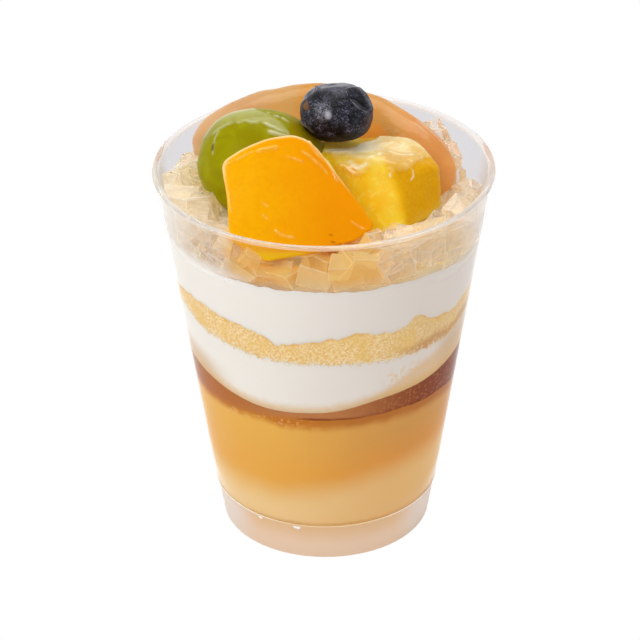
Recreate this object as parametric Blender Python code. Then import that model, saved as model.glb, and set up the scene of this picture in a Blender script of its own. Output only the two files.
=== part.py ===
"""Pudding a la mode in its clear plastic dessert cup.

Custard, caramel, whipped cream with a sponge sheet in it, crushed clear jelly, and on top a peach
slice, a green grape, a mango block, a pineapple block and a blueberry. Metres, +Z up, origin at the
centre of the foot's underside, the cup's front towards -Y. Angles round the cup are azimuths in
degrees from the front, growing towards +X.
"""

import math
import random

import bmesh
import bpy
from mathutils import Matrix, Vector
from mathutils.bvhtree import BVHTree

MM = 0.001
GAP = 0.3 * MM  # between neighbouring pieces
WELD = 0.02 * MM  # points this close are one
MOST_SPREAD = 1.6  # most that a sharp corner spreads, in gaps, when a shape is swollen by the gap

# The cup
CUP_HEIGHT = 89.2 * MM
RIM_RADIUS = 38.0 * MM
RIM_BEAD = 1.6 * MM  # the bead's width and height
WALL_TOP_RADIUS = 37.2 * MM  # outside, just under the bead
FOOT_TOP_RADIUS = 25.6 * MM  # outside, where the wall meets the foot
FOOT_HEIGHT = 9.6 * MM
FOOT_STEP = 0.3 * MM  # the foot stands in from the wall's line by this
FOOT_EDGE = 0.4 * MM  # rounding of the foot's lower edge
WALL = 0.8 * MM
FLOOR = 0.8 * MM
FLOOR_FILLET = 1.6 * MM
CUP_SIDES = 64
ARC_STEPS = 3  # steps along each rounded corner

# Where the layers meet at the wall: a level, then bumps of (azimuth, height, half-width)
LAYER_SIDES = 60
LAYER_RINGS = 2
CARAMEL_LOW = (
    38.2 * MM,
    (
        (0, 2.3 * MM, 48),
        (36, 0.9 * MM, 18),
        (76, -1.4 * MM, 20),
        (190, 2.4 * MM, 45),
    ),
)
CARAMEL_HIGH = (
    45.6 * MM,
    (
        (-22, -3.4 * MM, 33),
        (6, -0.8 * MM, 14),
        (150, -1.8 * MM, 34),
        (232, -1.0 * MM, 24),
    ),
)
SPONGE_LOW = (
    56.2 * MM,
    (
        (-72, 3.4 * MM, 14),
        (-46, 1.1 * MM, 14),
        (38, -1.1 * MM, 20),
        (104, 1.2 * MM, 18),
        (160, -0.9 * MM, 14),
        (212, 1.4 * MM, 20),
        (250, -0.8 * MM, 12),
    ),
)
SPONGE_HIGH = (
    62.9 * MM,
    (
        (-55, 2.2 * MM, 24),
        (-17, -2.1 * MM, 9),
        (13, 1.2 * MM, 7),
        (37, 2.4 * MM, 5),
        (60, -1.1 * MM, 10),
        (92, 1.5 * MM, 12),
        (124, -1.4 * MM, 9),
        (158, 1.2 * MM, 13),
        (196, -1.6 * MM, 10),
        (228, 1.6 * MM, 12),
        (262, -1.0 * MM, 9),
    ),
)
CREAM_HIGH = (75.9 * MM, ((74, -3.0 * MM, 22), (206, -1.4 * MM, 26)))

# The crushed jelly: how high it heaps at the wall, and its pieces
JELLY_HIGH = (
    83.0 * MM,
    (
        (-90, 1.4 * MM, 26),
        (-50, -1.4 * MM, 14),
        (10, 1.4 * MM, 40),
        (100, -2.4 * MM, 22),
        (180, 3.2 * MM, 44),
    ),
)
JELLY_CORE_DROP = 3.0 * MM  # the core lies this far under the heap's top
JELLY_SPACE_TOP = CUP_HEIGHT + 4.0 * MM  # the cup's inner form is carried up to here to trim the pieces
JELLY_OPEN_SHARE = 0.72  # pieces this far out stay, also under a fruit that leans over them
JELLY_SIDES = 36
JELLY_RINGS = 3
JELLY_PIECES = 46
JELLY_SIZE = (5.2 * MM, 8.4 * MM)
JELLY_STRETCH = (0.7, 1.25)  # a piece's sides, as shares of its size
JELLY_SKEW = 0.16  # share by which a corner of a piece strays
JELLY_TILT = 0.6  # radians by which a piece tips either way
JELLY_SINK = 0.55  # a piece's middle is this share of its size under the heap's top
JELLY_INSET = 0.3  # and no nearer the wall than this share of its size
JELLY_LEAN_INSET = 0.4
JELLY_LEANING = (  # pieces that stand against the wall: azimuth, height of the middle, size
    (136, 84.0 * MM, 7.2 * MM),
    (124, 80.8 * MM, 6.6 * MM),
    (244, 79.6 * MM, 6.4 * MM),
    (258, 80.4 * MM, 6.2 * MM),
)
JELLY_SEED = 11

# The grape: its stalk axis starts along X and is turned by degrees about Y, then Z
GRAPE_CENTRE = (-14.2 * MM, -0.4 * MM, 89.4 * MM)
GRAPE_HALF_LENGTH = 13.8 * MM
GRAPE_HALF_WIDTH = 12.1 * MM
GRAPE_TURN = (5.0, -6.0)
GRAPE_DIMPLE = 0.8 * MM  # where the stalk was
GRAPE_FULLER = 0.03  # share by which the stalk end is broader
GRAPE_SIDES = 22
GRAPE_RINGS = 14

# The blueberry
BERRY_CENTRE = (2.8 * MM, 0.3 * MM, 101.7 * MM)
BERRY_HALF_SIZE = (8.0 * MM, 7.6 * MM, 6.0 * MM)
BERRY_SQUARE = 2.35  # 2 makes it an ellipsoid, more makes it boxy
BERRY_CROWN_WAY = (0.84, 0.13, 0.52)  # the way the crown faces
BERRY_CROWN_ANGLE = 27.0  # degrees from its axis to its edge
BERRY_CROWN_DEPTH = 1.4 * MM
BERRY_CROWN_RIM = 0.7 * MM
BERRY_LOBES = 5
BERRY_LOBE_DROP = 0.5  # the rim is this share lower between two lobes
BERRY_RINGS = 9  # beyond the crown
BERRY_STALK_WAY = (-0.52, 0.1, 0.86)
BERRY_STALK_RADIUS = 0.55 * MM
BERRY_STALK_LENGTH = 2.0 * MM
BERRY_STALK_TAPER = 0.7

# The mango block. Its face leans back, and its corners are (across the cup, up the face)
MANGO_FACE_FOOT = (-30.6 * MM, 82.6 * MM)  # y and z of the face where its height up is nothing
MANGO_LEAN = 40.0  # degrees of the face from upright
MANGO_CORNERS = (
    (-20.3 * MM, 4.4 * MM),
    (-22.7 * MM, 21.3 * MM),
    (-17.7 * MM, 24.4 * MM),
    (-10.6 * MM, 27.3 * MM),
    (-5.2 * MM, 27.5 * MM),
    (-1.6 * MM, 25.1 * MM),
    (1.2 * MM, 21.5 * MM),
    (11.6 * MM, 6.6 * MM),
    (6.6 * MM, 1.4 * MM),
    (-12.0 * MM, -2.2 * MM),
)
MANGO_THICK = 7.8 * MM
MANGO_BACK_SHARE = 0.93  # the back is this much of the face's size
MANGO_BULGE = 0.9 * MM  # of the middle of the face

# The pineapple block: corners of its underside and of its top, from the front left round to the right
PINEAPPLE_LOW = (
    (1.0 * MM, -22.5 * MM, 80.8 * MM),
    (18.2 * MM, -19.4 * MM, 81.2 * MM),
    (27.2 * MM, -6.4 * MM, 81.0 * MM),
    (19.4 * MM, 4.6 * MM, 80.8 * MM),
    (0.6 * MM, 3.0 * MM, 80.8 * MM),
)
PINEAPPLE_HIGH = (
    (-0.6 * MM, -4.4 * MM, 94.6 * MM),
    (15.6 * MM, -10.2 * MM, 93.8 * MM),
    (26.6 * MM, -5.0 * MM, 91.6 * MM),
    (19.4 * MM, 4.6 * MM, 93.2 * MM),
    (2.8 * MM, 4.2 * MM, 94.6 * MM),
)
BLOCK_BEVEL = 1.4 * MM
BLOCK_BEVEL_STEPS = 3

# The peach slice: a crescent round the back of the cup, whose cut face leans towards the front
PEACH_CENTRE = (-0.3 * MM, 7.3 * MM, 89.7 * MM)
PEACH_LEAN = 26.0  # degrees of the cut face above level
PEACH_ROLL = 4.4  # degrees by which its left end stands higher
PEACH_YAW = -7.5  # degrees by which its left end lies further forward
PEACH_HALF_SPAN = 30.7 * MM  # to the outer side, across the cup
PEACH_REACH = 20.9 * MM  # to the outer side, up the cut face
PEACH_ARCH = 1.68  # 2 makes its outline an ellipse, less makes it pointed
PEACH_ARC = (-34.0, 200.0)  # degrees round the crescent, from the right end to the left end
PEACH_HALF_WIDTH = (7.8 * MM, 5.8 * MM)  # at the right end and at the left end
PEACH_FULLER = 1.6 * MM  # added to the half-width at the middle
PEACH_THICK = 13.0 * MM
PEACH_PIT_SIDE = 0.72  # thickness of the pit side, as a share of the outer side's
PEACH_SQUARE = 2.5  # 2 makes its cross-section round, more makes it boxy
PEACH_END = 7  # more makes its ends blunter
PEACH_STEPS = 26
PEACH_SIDES = 18


def clear_scene():
    for obj in list(bpy.data.objects):
        bpy.data.objects.remove(obj, do_unlink=True)


def surface(name, colour, roughness, alpha=1.0, clear=0.0):
    material = bpy.data.materials.new(name)
    material.use_nodes = True
    shader = material.node_tree.nodes["Principled BSDF"]
    shader.inputs["Base Color"].default_value = (*colour, 1.0)
    shader.inputs["Roughness"].default_value = roughness
    shader.inputs["Metallic"].default_value = 0.0
    shader.inputs["Alpha"].default_value = alpha
    shader.inputs["Transmission Weight"].default_value = clear
    return material


def add_object(name, data, material):
    """Turns bmesh data into an object of the scene."""
    data.normal_update()
    bmesh.ops.recalc_face_normals(data, faces=data.faces)
    mesh = bpy.data.meshes.new(name)
    data.to_mesh(mesh)
    data.free()
    obj = bpy.data.objects.new(name, mesh)
    bpy.context.scene.collection.objects.link(obj)
    mesh.materials.append(material)
    return obj


def shade(obj, angle):
    obj.data.shade_smooth()
    obj.data.set_sharp_from_angle(angle=math.radians(angle))


def apply_modifiers(obj):
    bpy.context.view_layer.update()
    graph = bpy.context.evaluated_depsgraph_get()
    made = bpy.data.meshes.new_from_object(obj.evaluated_get(graph))
    obj.modifiers.clear()
    obj.data = made


def boolean(obj, others, operation, solver="EXACT"):
    """One Boolean of the object with all the others, applied. The others are then removed."""
    group = bpy.data.collections.new("others")
    bpy.context.scene.collection.children.link(group)
    for other in others:
        bpy.context.scene.collection.objects.unlink(other)
        group.objects.link(other)
    modifier = obj.modifiers.new(operation.lower(), "BOOLEAN")
    modifier.operation = operation
    modifier.solver = solver
    modifier.operand_type = "COLLECTION"
    modifier.collection = group
    apply_modifiers(obj)
    for other in others:
        bpy.data.objects.remove(other, do_unlink=True)
    bpy.data.collections.remove(group)


def linked_points(start):
    found, edge = {start}, [start]
    while edge:
        point = edge.pop()
        for link in point.link_edges:
            other = link.other_vert(point)
            if other not in found:
                found.add(other)
                edge.append(other)
    return found


def keep_largest_body(obj):
    """Drops the loose scraps that a cut leaves."""
    data = bmesh.new()
    data.from_mesh(obj.data)
    left, bodies = set(data.verts), []
    while left:
        body = linked_points(next(iter(left)))
        left -= body
        bodies.append(body)
    for body in sorted(bodies, key=len)[:-1]:
        bmesh.ops.delete(data, geom=list(body), context="VERTS")
    data.to_mesh(obj.data)
    data.free()


def room_for(obj):
    """A copy of the object, swollen by the gap, to cut its neighbours with."""
    data = bmesh.new()
    data.from_mesh(obj.data)
    bmesh.ops.remove_doubles(data, verts=data.verts, dist=WELD)
    data.normal_update()
    for point in data.verts:
        point.co += point.normal * GAP * min(MOST_SPREAD, point.calc_shell_factor())
    return add_object(obj.name + "_room", data, obj.data.materials[0])


def cut_round(obj, neighbours):
    """Dents the object where its neighbours press into it, and leaves the gap to them."""
    boolean(obj, [room_for(other) for other in neighbours], "DIFFERENCE")
    keep_largest_body(obj)


def wall_radius(z):
    """Outside of the cup's wall at height z, carried on down past the foot."""
    top = CUP_HEIGHT - RIM_BEAD
    share = (z - FOOT_HEIGHT) / (top - FOOT_HEIGHT)
    return FOOT_TOP_RADIUS + (WALL_TOP_RADIUS - FOOT_TOP_RADIUS) * share


def filling_radius(z):
    return wall_radius(z) - WALL - GAP


def edge_height(edge, azimuth, share=1.0):
    """Height of a boundary at a share of the way out to the wall. Its bumps die away inwards."""
    level, bumps = edge
    rise = 0.0
    for at, height, half_width in bumps:
        away = (azimuth - at + 180) % 360 - 180
        rise += height * math.exp(-((away / half_width) ** 2))
    return level + rise * share**2


def at_azimuth(azimuth, radius, z):
    turn = math.radians(azimuth)
    return Vector((radius * math.sin(turn), -radius * math.cos(turn), z))


def arc(centre, radius, start, end):
    """Points (r, z) of a rounded corner, from a start to an end angle in degrees."""
    turns = [math.radians(start + (end - start) * i / ARC_STEPS) for i in range(ARC_STEPS + 1)]
    return [(centre[0] + radius * math.cos(a), centre[1] + radius * math.sin(a)) for a in turns]


def cup_profile():
    """(r, z) from the middle of the floor's underside round the foot, the wall and the rim to its top."""
    under = FOOT_HEIGHT - FLOOR / 2
    over = under + FLOOR
    foot_top = FOOT_TOP_RADIUS - FOOT_STEP
    foot_low = wall_radius(0) - FOOT_STEP
    bead = RIM_BEAD / 2
    bead_centre = (RIM_RADIUS - bead, CUP_HEIGHT - bead)
    wall_top = CUP_HEIGHT - RIM_BEAD
    inside = wall_radius(over + FLOOR_FILLET) - WALL
    points = [(0.0, under), (foot_top - WALL - FLOOR, under), (foot_top - WALL, under - FLOOR)]
    points += [(foot_low - WALL, 0.0)]
    points += arc((foot_low - FOOT_EDGE, FOOT_EDGE), FOOT_EDGE, -90, 0)
    points += [(foot_top, FOOT_HEIGHT), (FOOT_TOP_RADIUS, FOOT_HEIGHT + FOOT_STEP)]
    points += [(WALL_TOP_RADIUS, wall_top)]
    points += arc(bead_centre, bead, -30, 90) + arc(bead_centre, bead, 125, 210)
    points += [(wall_radius(wall_top) - WALL, wall_top)]
    points += arc((inside - FLOOR_FILLET, over + FLOOR_FILLET), FLOOR_FILLET, 0, -90)
    points += [(0.0, over)]
    return points


def make_cup(material):
    data = bmesh.new()
    profile = [data.verts.new((r, 0.0, z)) for r, z in cup_profile()]
    edges = [data.edges.new(pair) for pair in zip(profile, profile[1:])]
    bmesh.ops.spin(data, geom=profile + edges, axis=(0, 0, 1), angle=math.tau, steps=CUP_SIDES)
    bmesh.ops.remove_doubles(data, verts=data.verts, dist=WELD)
    cup = add_object("cup", data, material)
    shade(cup, 35)
    return cup


def bridge(data, lower, upper):
    for i in range(len(lower)):
        j = (i + 1) % len(lower)
        data.faces.new((lower[i], lower[j], upper[j], upper[i]))


def disc_surface(data, height, sides, rings, radius):
    """A round surface height(azimuth, share) with its own middle point. Gives back its outer ring."""
    middle = data.verts.new((0, 0, height(0, 0)))
    before = None
    for n in range(1, rings + 1):
        share = n / rings
        ring = []
        for i in range(sides):
            azimuth = 360 * i / sides
            z = height(azimuth, share)
            ring.append(data.verts.new(at_azimuth(azimuth, radius(z) * share, z)))
        if before is None:
            for i in range(sides):
                data.faces.new((middle, ring[i], ring[(i + 1) % sides]))
        else:
            bridge(data, before, ring)
        before = ring
    return before


def disc(low, high, sides, rings, radius=filling_radius):
    """A closed slab of the filling between two surfaces, out to radius(z)."""
    data = bmesh.new()
    under = disc_surface(data, low, sides, rings, radius)
    over = disc_surface(data, high, sides, rings, radius)
    bridge(data, under, over)
    return data


def above(edge):
    """The surface half a gap over a boundary between two layers."""
    return lambda azimuth, share: edge_height(edge, azimuth, share) + GAP / 2


def below(edge):
    return lambda azimuth, share: edge_height(edge, azimuth, share) - GAP / 2


def make_layer(name, low, high, material):
    layer = add_object(name, disc(above(low), below(high), LAYER_SIDES, LAYER_RINGS), material)
    shade(layer, 35)
    return layer


def make_custard(material):
    """The lowest layer, whose foot is rounded like the cup's floor."""
    floor = FOOT_HEIGHT + FLOOR / 2 + GAP
    data = disc(lambda azimuth, share: floor, below(CARAMEL_LOW), LAYER_SIDES, LAYER_RINGS)
    foot = [e for e in data.edges if all(abs(p.co.z - floor) < WELD for p in e.verts)]
    foot = [e for e in foot if all(p.co.xy.length > filling_radius(floor) - WELD for p in e.verts)]
    bmesh.ops.bevel(data, geom=foot, offset=FLOOR_FILLET, segments=2, profile=0.5, affect="EDGES")
    custard = add_object("custard", data, material)
    shade(custard, 35)
    return custard


def make_grape(material):
    data = bmesh.new()
    bmesh.ops.create_uvsphere(data, u_segments=GRAPE_SIDES, v_segments=GRAPE_RINGS, radius=1.0)
    tip, yaw = (math.radians(angle) for angle in GRAPE_TURN)
    pose = Matrix.Rotation(yaw, 3, "Z") @ Matrix.Rotation(tip, 3, "Y")
    for point in data.verts:
        along = point.co.z
        fuller = 1.0 + GRAPE_FULLER * along
        dimple = GRAPE_DIMPLE if along > 0.999 else 0.0
        local = Vector((dimple - GRAPE_HALF_LENGTH * along, 0, 0))
        local.y = GRAPE_HALF_WIDTH * point.co.x * fuller
        local.z = GRAPE_HALF_WIDTH * point.co.y * fuller
        point.co = pose @ local + Vector(GRAPE_CENTRE)
    grape = add_object("grape", data, material)
    shade(grape, 60)
    return grape


def berry_skin(way):
    """The point of the berry's skin that lies that way from its centre, with no crown."""
    size = sum(abs(way[k] / BERRY_HALF_SIZE[k]) ** BERRY_SQUARE for k in range(3))
    return way * size ** (-1 / BERRY_SQUARE)


def berry_point(away, turn, to_crown):
    """A point of the berry's surface, at an angle from the crown's axis and a turn round it."""
    flat = math.sin(away)
    way = to_crown @ Vector((flat * math.cos(turn), flat * math.sin(turn), math.cos(away)))
    edge = math.radians(BERRY_CROWN_ANGLE)
    lobe = 1 - BERRY_LOBE_DROP * (1 - math.cos(BERRY_LOBES * turn)) / 2
    if away < edge:
        rise = -BERRY_CROWN_DEPTH * (1 - (away / edge) ** 4)
    else:
        rise = 0.0
    rise += BERRY_CROWN_RIM * lobe * math.exp(-(((away - edge) / (0.25 * edge)) ** 2))
    return Vector(BERRY_CENTRE) + berry_skin(way) + way * rise


def make_blueberry(material):
    data = bmesh.new()
    sides = 4 * BERRY_LOBES
    edge = math.radians(BERRY_CROWN_ANGLE)
    outer = 1.25 * edge
    steps = [0.55 * edge, 0.85 * edge, edge, outer]
    steps += [outer + (math.pi - outer) * n / BERRY_RINGS for n in range(1, BERRY_RINGS)]
    crown = Vector(BERRY_CROWN_WAY).normalized()
    to_crown = Vector((0, 0, 1)).rotation_difference(crown).to_matrix()
    middle = data.verts.new(berry_point(0.0, 0.0, to_crown))
    far = data.verts.new(berry_point(math.pi, 0.0, to_crown))
    rings = []
    for away in steps:
        turns = [math.tau * i / sides for i in range(sides)]
        rings.append([data.verts.new(berry_point(away, turn, to_crown)) for turn in turns])
    for i in range(sides):
        j = (i + 1) % sides
        data.faces.new((middle, rings[0][i], rings[0][j]))
        data.faces.new((rings[-1][i], far, rings[-1][j]))
    for before, after in zip(rings, rings[1:]):
        bridge(data, before, after)
    berry = add_object("blueberry", data, material)
    boolean(berry, [make_berry_stalk(material)], "UNION")
    shade(berry, 40)
    return berry


def make_berry_stalk(material):
    data = bmesh.new()
    bmesh.ops.create_cone(
        data,
        cap_ends=True,
        segments=8,
        radius1=BERRY_STALK_RADIUS,
        radius2=BERRY_STALK_RADIUS * BERRY_STALK_TAPER,
        depth=BERRY_STALK_LENGTH,
    )
    way = Vector(BERRY_STALK_WAY)
    pose = way.to_track_quat("Z", "Y").to_matrix().to_4x4()
    pose.translation = Vector(BERRY_CENTRE) + berry_skin(way)
    bmesh.ops.transform(data, matrix=pose, verts=data.verts)
    return add_object("stalk", data, material)


def block(name, low, high, material):
    """A block of fruit between two rings of corners, its edges rounded."""
    data = bmesh.new()
    under = [data.verts.new(corner) for corner in low]
    over = [data.verts.new(corner) for corner in high]
    data.faces.new(under)
    data.faces.new(over)
    bridge(data, under, over)
    obj = add_object(name, data, material)
    rounding = obj.modifiers.new("rounding", "BEVEL")
    rounding.width = BLOCK_BEVEL
    rounding.segments = BLOCK_BEVEL_STEPS
    rounding.limit_method = "ANGLE"
    rounding.angle_limit = math.radians(20)
    apply_modifiers(obj)
    return obj


def mango_point(across, up, depth):
    """A point of the mango block: across the cup, up its leaning face, and behind that face."""
    lean = math.radians(MANGO_LEAN)
    foot_y, foot_z = MANGO_FACE_FOOT
    y = foot_y + up * math.sin(lean) + depth * math.cos(lean)
    z = foot_z + up * math.cos(lean) - depth * math.sin(lean)
    return Vector((across, y, z))


def make_mango(material):
    middle_across = sum(across for across, _ in MANGO_CORNERS) / len(MANGO_CORNERS)
    middle_up = sum(up for _, up in MANGO_CORNERS) / len(MANGO_CORNERS)
    front, back = [], []
    for across, up in MANGO_CORNERS:
        back_across = middle_across + (across - middle_across) * MANGO_BACK_SHARE
        back_up = middle_up + (up - middle_up) * MANGO_BACK_SHARE
        front.append(mango_point(across, up, 0.0))
        back.append(mango_point(back_across, back_up, MANGO_THICK))
    mango = block("mango", back, front, material)
    bulge_face(mango, mango_point(middle_across, middle_up, -MANGO_BULGE))
    shade(mango, 30)
    return mango


def bulge_face(obj, peak):
    """Splits the face nearest the peak into a low pyramid with its point there."""
    data = bmesh.new()
    data.from_mesh(obj.data)
    near = min(data.faces, key=lambda face: (face.calc_center_median() - peak).length)
    made = bmesh.ops.poke(data, faces=[near])
    made["verts"][0].co = peak
    data.to_mesh(obj.data)
    data.free()


def make_pineapple(material):
    pineapple = block("pineapple", PINEAPPLE_LOW, PINEAPPLE_HIGH, material)
    shade(pineapple, 30)
    return pineapple


def squared(angle, power):
    """Cosine and sine of an angle, pushed outwards to a boxy outline or, under 2, inwards to a point."""
    parts = (math.cos(angle), math.sin(angle))
    return [math.copysign(abs(part) ** (2 / power), part) for part in parts]


def peach_section(share):
    """Middle and outline of the slice's cross-section, a share of the way from right end to left end."""
    start, end = PEACH_ARC
    turn = math.radians(start + (end - start) * share)
    across, up_face = squared(turn, PEACH_ARCH)
    outward = Vector((math.cos(turn), math.sin(turn), 0))
    right, left = PEACH_HALF_WIDTH
    half_width = right + (left - right) * share + PEACH_FULLER * math.sin(math.pi * share)
    rounding = max(0.0, 1 - abs(2 * share - 1) ** PEACH_END) ** 0.5
    outer = Vector((PEACH_HALF_SPAN * across, PEACH_REACH * up_face, -PEACH_THICK / 2))
    middle = outer - outward * half_width
    points = []
    for i in range(PEACH_SIDES):
        out, up = squared(math.tau * i / PEACH_SIDES, PEACH_SQUARE)
        if out < 0:
            up *= PEACH_PIT_SIDE
        level = Vector((0, 0, up * PEACH_THICK / 2 * rounding))
        points.append(middle + outward * out * half_width * rounding + level)
    return middle, points


def make_peach(material):
    data = bmesh.new()
    before = None
    for n in range(1, PEACH_STEPS):
        _, points = peach_section(n / PEACH_STEPS)
        ring = [data.verts.new(point) for point in points]
        if before is not None:
            bridge(data, before, ring)
        before = ring
        if n in (1, PEACH_STEPS - 1):
            tip = data.verts.new(peach_section(0.0 if n == 1 else 1.0)[0])
            for i in range(PEACH_SIDES):
                data.faces.new((tip, ring[i], ring[(i + 1) % PEACH_SIDES]))
    pose = Matrix.Rotation(math.radians(PEACH_YAW), 4, "Z")
    pose = pose @ Matrix.Rotation(math.radians(PEACH_ROLL), 4, "Y")
    pose = pose @ Matrix.Rotation(math.radians(PEACH_LEAN), 4, "X")
    pose.translation = PEACH_CENTRE
    bmesh.ops.transform(data, matrix=pose, verts=data.verts)
    peach = add_object("peach", data, material)
    shade(peach, 50)
    return peach


def jelly_piece(chance, centre, size, material):
    """One broken cube of jelly: the hull of a box's strayed corners, turned at random."""
    data = bmesh.new()
    sides = [size * chance.uniform(*JELLY_STRETCH) for _ in range(3)]
    turn = Matrix.Rotation(chance.uniform(0, math.tau), 3, "Z")
    turn = turn @ Matrix.Rotation(chance.uniform(-JELLY_TILT, JELLY_TILT), 3, "X")
    turn = turn @ Matrix.Rotation(chance.uniform(-JELLY_TILT, JELLY_TILT), 3, "Y")
    for x in (-0.5, 0.5):
        for y in (-0.5, 0.5):
            for z in (-0.5, 0.5):
                corner = [k + chance.uniform(-JELLY_SKEW, JELLY_SKEW) for k in (x, y, z)]
                local = Vector([corner[k] * sides[k] for k in range(3)])
                data.verts.new(turn @ local + centre)
    bmesh.ops.convex_hull(data, input=data.verts)
    return add_object("jelly_piece", data, material)


def jelly_pieces(material, fruit):
    """The broken cubes that show: a spiral of them over the heap, bar those under the fruit."""
    graph = bpy.context.evaluated_depsgraph_get()
    trees = [BVHTree.FromObject(obj, graph) for obj in fruit]
    chance = random.Random(JELLY_SEED)
    golden_angle = 180 * (3 - math.sqrt(5))
    pieces = []
    for n in range(JELLY_PIECES):
        azimuth = n * golden_angle
        share = math.sqrt((n + 0.5) / JELLY_PIECES)
        size = chance.uniform(*JELLY_SIZE)
        z = edge_height(JELLY_HIGH, azimuth, share) - size * JELLY_SINK
        radius = min(share * wall_radius(z), filling_radius(z) - size * JELLY_INSET)
        centre = at_azimuth(azimuth, radius, z)
        covered = any(tree.ray_cast(centre, Vector((0, 0, 1)))[0] for tree in trees)
        if share > JELLY_OPEN_SHARE or not covered:
            pieces.append(jelly_piece(chance, centre, size, material))
    for azimuth, z, size in JELLY_LEANING:
        centre = at_azimuth(azimuth, filling_radius(z) - size * JELLY_LEAN_INSET, z)
        pieces.append(jelly_piece(chance, centre, size, material))
    return pieces


def make_jelly(material, fruit, fruit_rooms):
    """A core with the pieces fused on, trimmed to the cup and to the cream, and cut round the fruit."""

    def core_top(azimuth, share):
        return edge_height(JELLY_HIGH, azimuth, share) - JELLY_CORE_DROP

    def over_the_rim(azimuth, share):
        return JELLY_SPACE_TOP

    core = disc(above(CREAM_HIGH), core_top, JELLY_SIDES, JELLY_RINGS)
    jelly = add_object("jelly", core, material)
    boolean(jelly, jelly_pieces(material, fruit), "UNION", "MANIFOLD")
    inside = disc(above(CREAM_HIGH), over_the_rim, LAYER_SIDES, LAYER_RINGS)
    space = add_object("space", inside, material)
    boolean(jelly, [space], "INTERSECT", "MANIFOLD")
    boolean(jelly, fruit_rooms, "DIFFERENCE", "MANIFOLD")
    keep_largest_body(jelly)
    shade(jelly, 20)
    return jelly


def main():
    clear_scene()
    make_cup(surface("clear_plastic", (0.93, 0.95, 0.96), 0.04, 0.3, 1.0))
    make_custard(surface("custard", (0.80, 0.44, 0.11), 0.35))
    make_layer("caramel", CARAMEL_LOW, CARAMEL_HIGH, surface("caramel", (0.28, 0.085, 0.02), 0.25))
    cream = surface("cream", (0.87, 0.85, 0.81), 0.55)
    make_layer("cream_lower", CARAMEL_HIGH, SPONGE_LOW, cream)
    make_layer("sponge", SPONGE_LOW, SPONGE_HIGH, surface("sponge", (0.84, 0.60, 0.27), 0.85))
    make_layer("cream_upper", SPONGE_HIGH, CREAM_HIGH, cream)

    grape = make_grape(surface("grape_skin", (0.28, 0.33, 0.01), 0.15))
    blueberry = make_blueberry(surface("berry_skin", (0.018, 0.02, 0.04), 0.4))
    mango = make_mango(surface("mango_flesh", (0.92, 0.38, 0.0), 0.2))
    pineapple = make_pineapple(surface("pineapple_flesh", (0.82, 0.48, 0.03), 0.2))
    peach = make_peach(surface("peach_flesh", (0.78, 0.33, 0.11), 0.2))
    fruit = [grape, mango, pineapple, peach]
    fruit_rooms = [room_for(obj) for obj in fruit]
    cut_round(mango, [grape])
    cut_round(pineapple, [mango, grape, blueberry])
    cut_round(peach, [mango, grape, pineapple, blueberry])
    make_jelly(surface("jelly", (0.85, 0.72, 0.50), 0.1, 0.6, 0.6), fruit, fruit_rooms)


main()
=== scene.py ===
import math

import bmesh
import bpy
import numpy as np
from mathutils import Matrix, Vector, noise
from mathutils.bvhtree import BVHTree


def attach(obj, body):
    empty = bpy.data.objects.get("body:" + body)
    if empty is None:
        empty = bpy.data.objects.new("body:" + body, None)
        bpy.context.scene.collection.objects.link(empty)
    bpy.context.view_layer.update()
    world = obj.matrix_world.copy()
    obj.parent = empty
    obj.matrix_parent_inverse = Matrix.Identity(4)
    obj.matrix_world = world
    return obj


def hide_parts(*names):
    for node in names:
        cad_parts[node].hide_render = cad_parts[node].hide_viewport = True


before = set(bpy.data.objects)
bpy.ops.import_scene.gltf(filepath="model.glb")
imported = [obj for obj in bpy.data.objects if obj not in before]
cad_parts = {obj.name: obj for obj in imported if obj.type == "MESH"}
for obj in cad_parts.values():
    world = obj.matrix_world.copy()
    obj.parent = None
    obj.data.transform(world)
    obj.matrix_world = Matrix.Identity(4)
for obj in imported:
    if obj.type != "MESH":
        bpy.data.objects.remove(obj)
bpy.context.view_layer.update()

mm = 0.001
sharpEdge = math.radians(55)
longPath = 9  # bounces, after which light goes straight through clear walls
scene = bpy.context.scene


# Finishes: a number that carries its own node, and a material that is built from such numbers

class Num:
    def __init__(self, look, socket):
        self.look, self.socket = look, socket

    def sum(self, operation, a, b=0.5, clamp=False):
        return self.look.number("ShaderNodeMath", {0: a, 1: b}, operation=operation, use_clamp=clamp)

    def __add__(self, other):
        return self.sum("ADD", self, other)

    def __sub__(self, other):
        return self.sum("SUBTRACT", self, other)

    def __rsub__(self, other):
        return self.sum("SUBTRACT", other, self)

    def __mul__(self, other):
        return self.sum("MULTIPLY", self, other)

    def __pow__(self, other):
        return self.sum("POWER", self, other)

    __radd__, __rmul__ = __add__, __mul__

    def square(self):
        return self * self

    def size(self):
        return self.sum("ABSOLUTE", self)

    def most(self, other):
        return self.sum("MAXIMUM", self, other)

    def over(self, level):
        return self.sum("GREATER_THAN", self, level)

    def held(self):  # between 0 and 1
        return self.sum("ADD", self, 0.0, True)

    def ease(self, low, high):  # 0 below low, 1 above high, and the other way round where low is the larger
        return self.look.number("ShaderNodeMapRange", {"Value": self, "From Min": low, "From Max": high},
                                interpolation_type="SMOOTHSTEP")


class Tree:  # a node tree, with one way to add a node to it
    def __init__(self, tree):
        self.tree = tree

    def put(self, socket, value):
        value = getattr(value, "socket", value)
        if isinstance(value, bpy.types.NodeSocket):
            self.tree.links.new(value, socket)
        else:
            socket.default_value = value

    def add(self, kind, sockets=None, **settings):
        node = self.tree.nodes.new(kind)
        for key, value in settings.items():
            setattr(node, key, value)
        for key, value in (sockets or {}).items():
            self.put(node.inputs[key], value)
        return node


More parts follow.
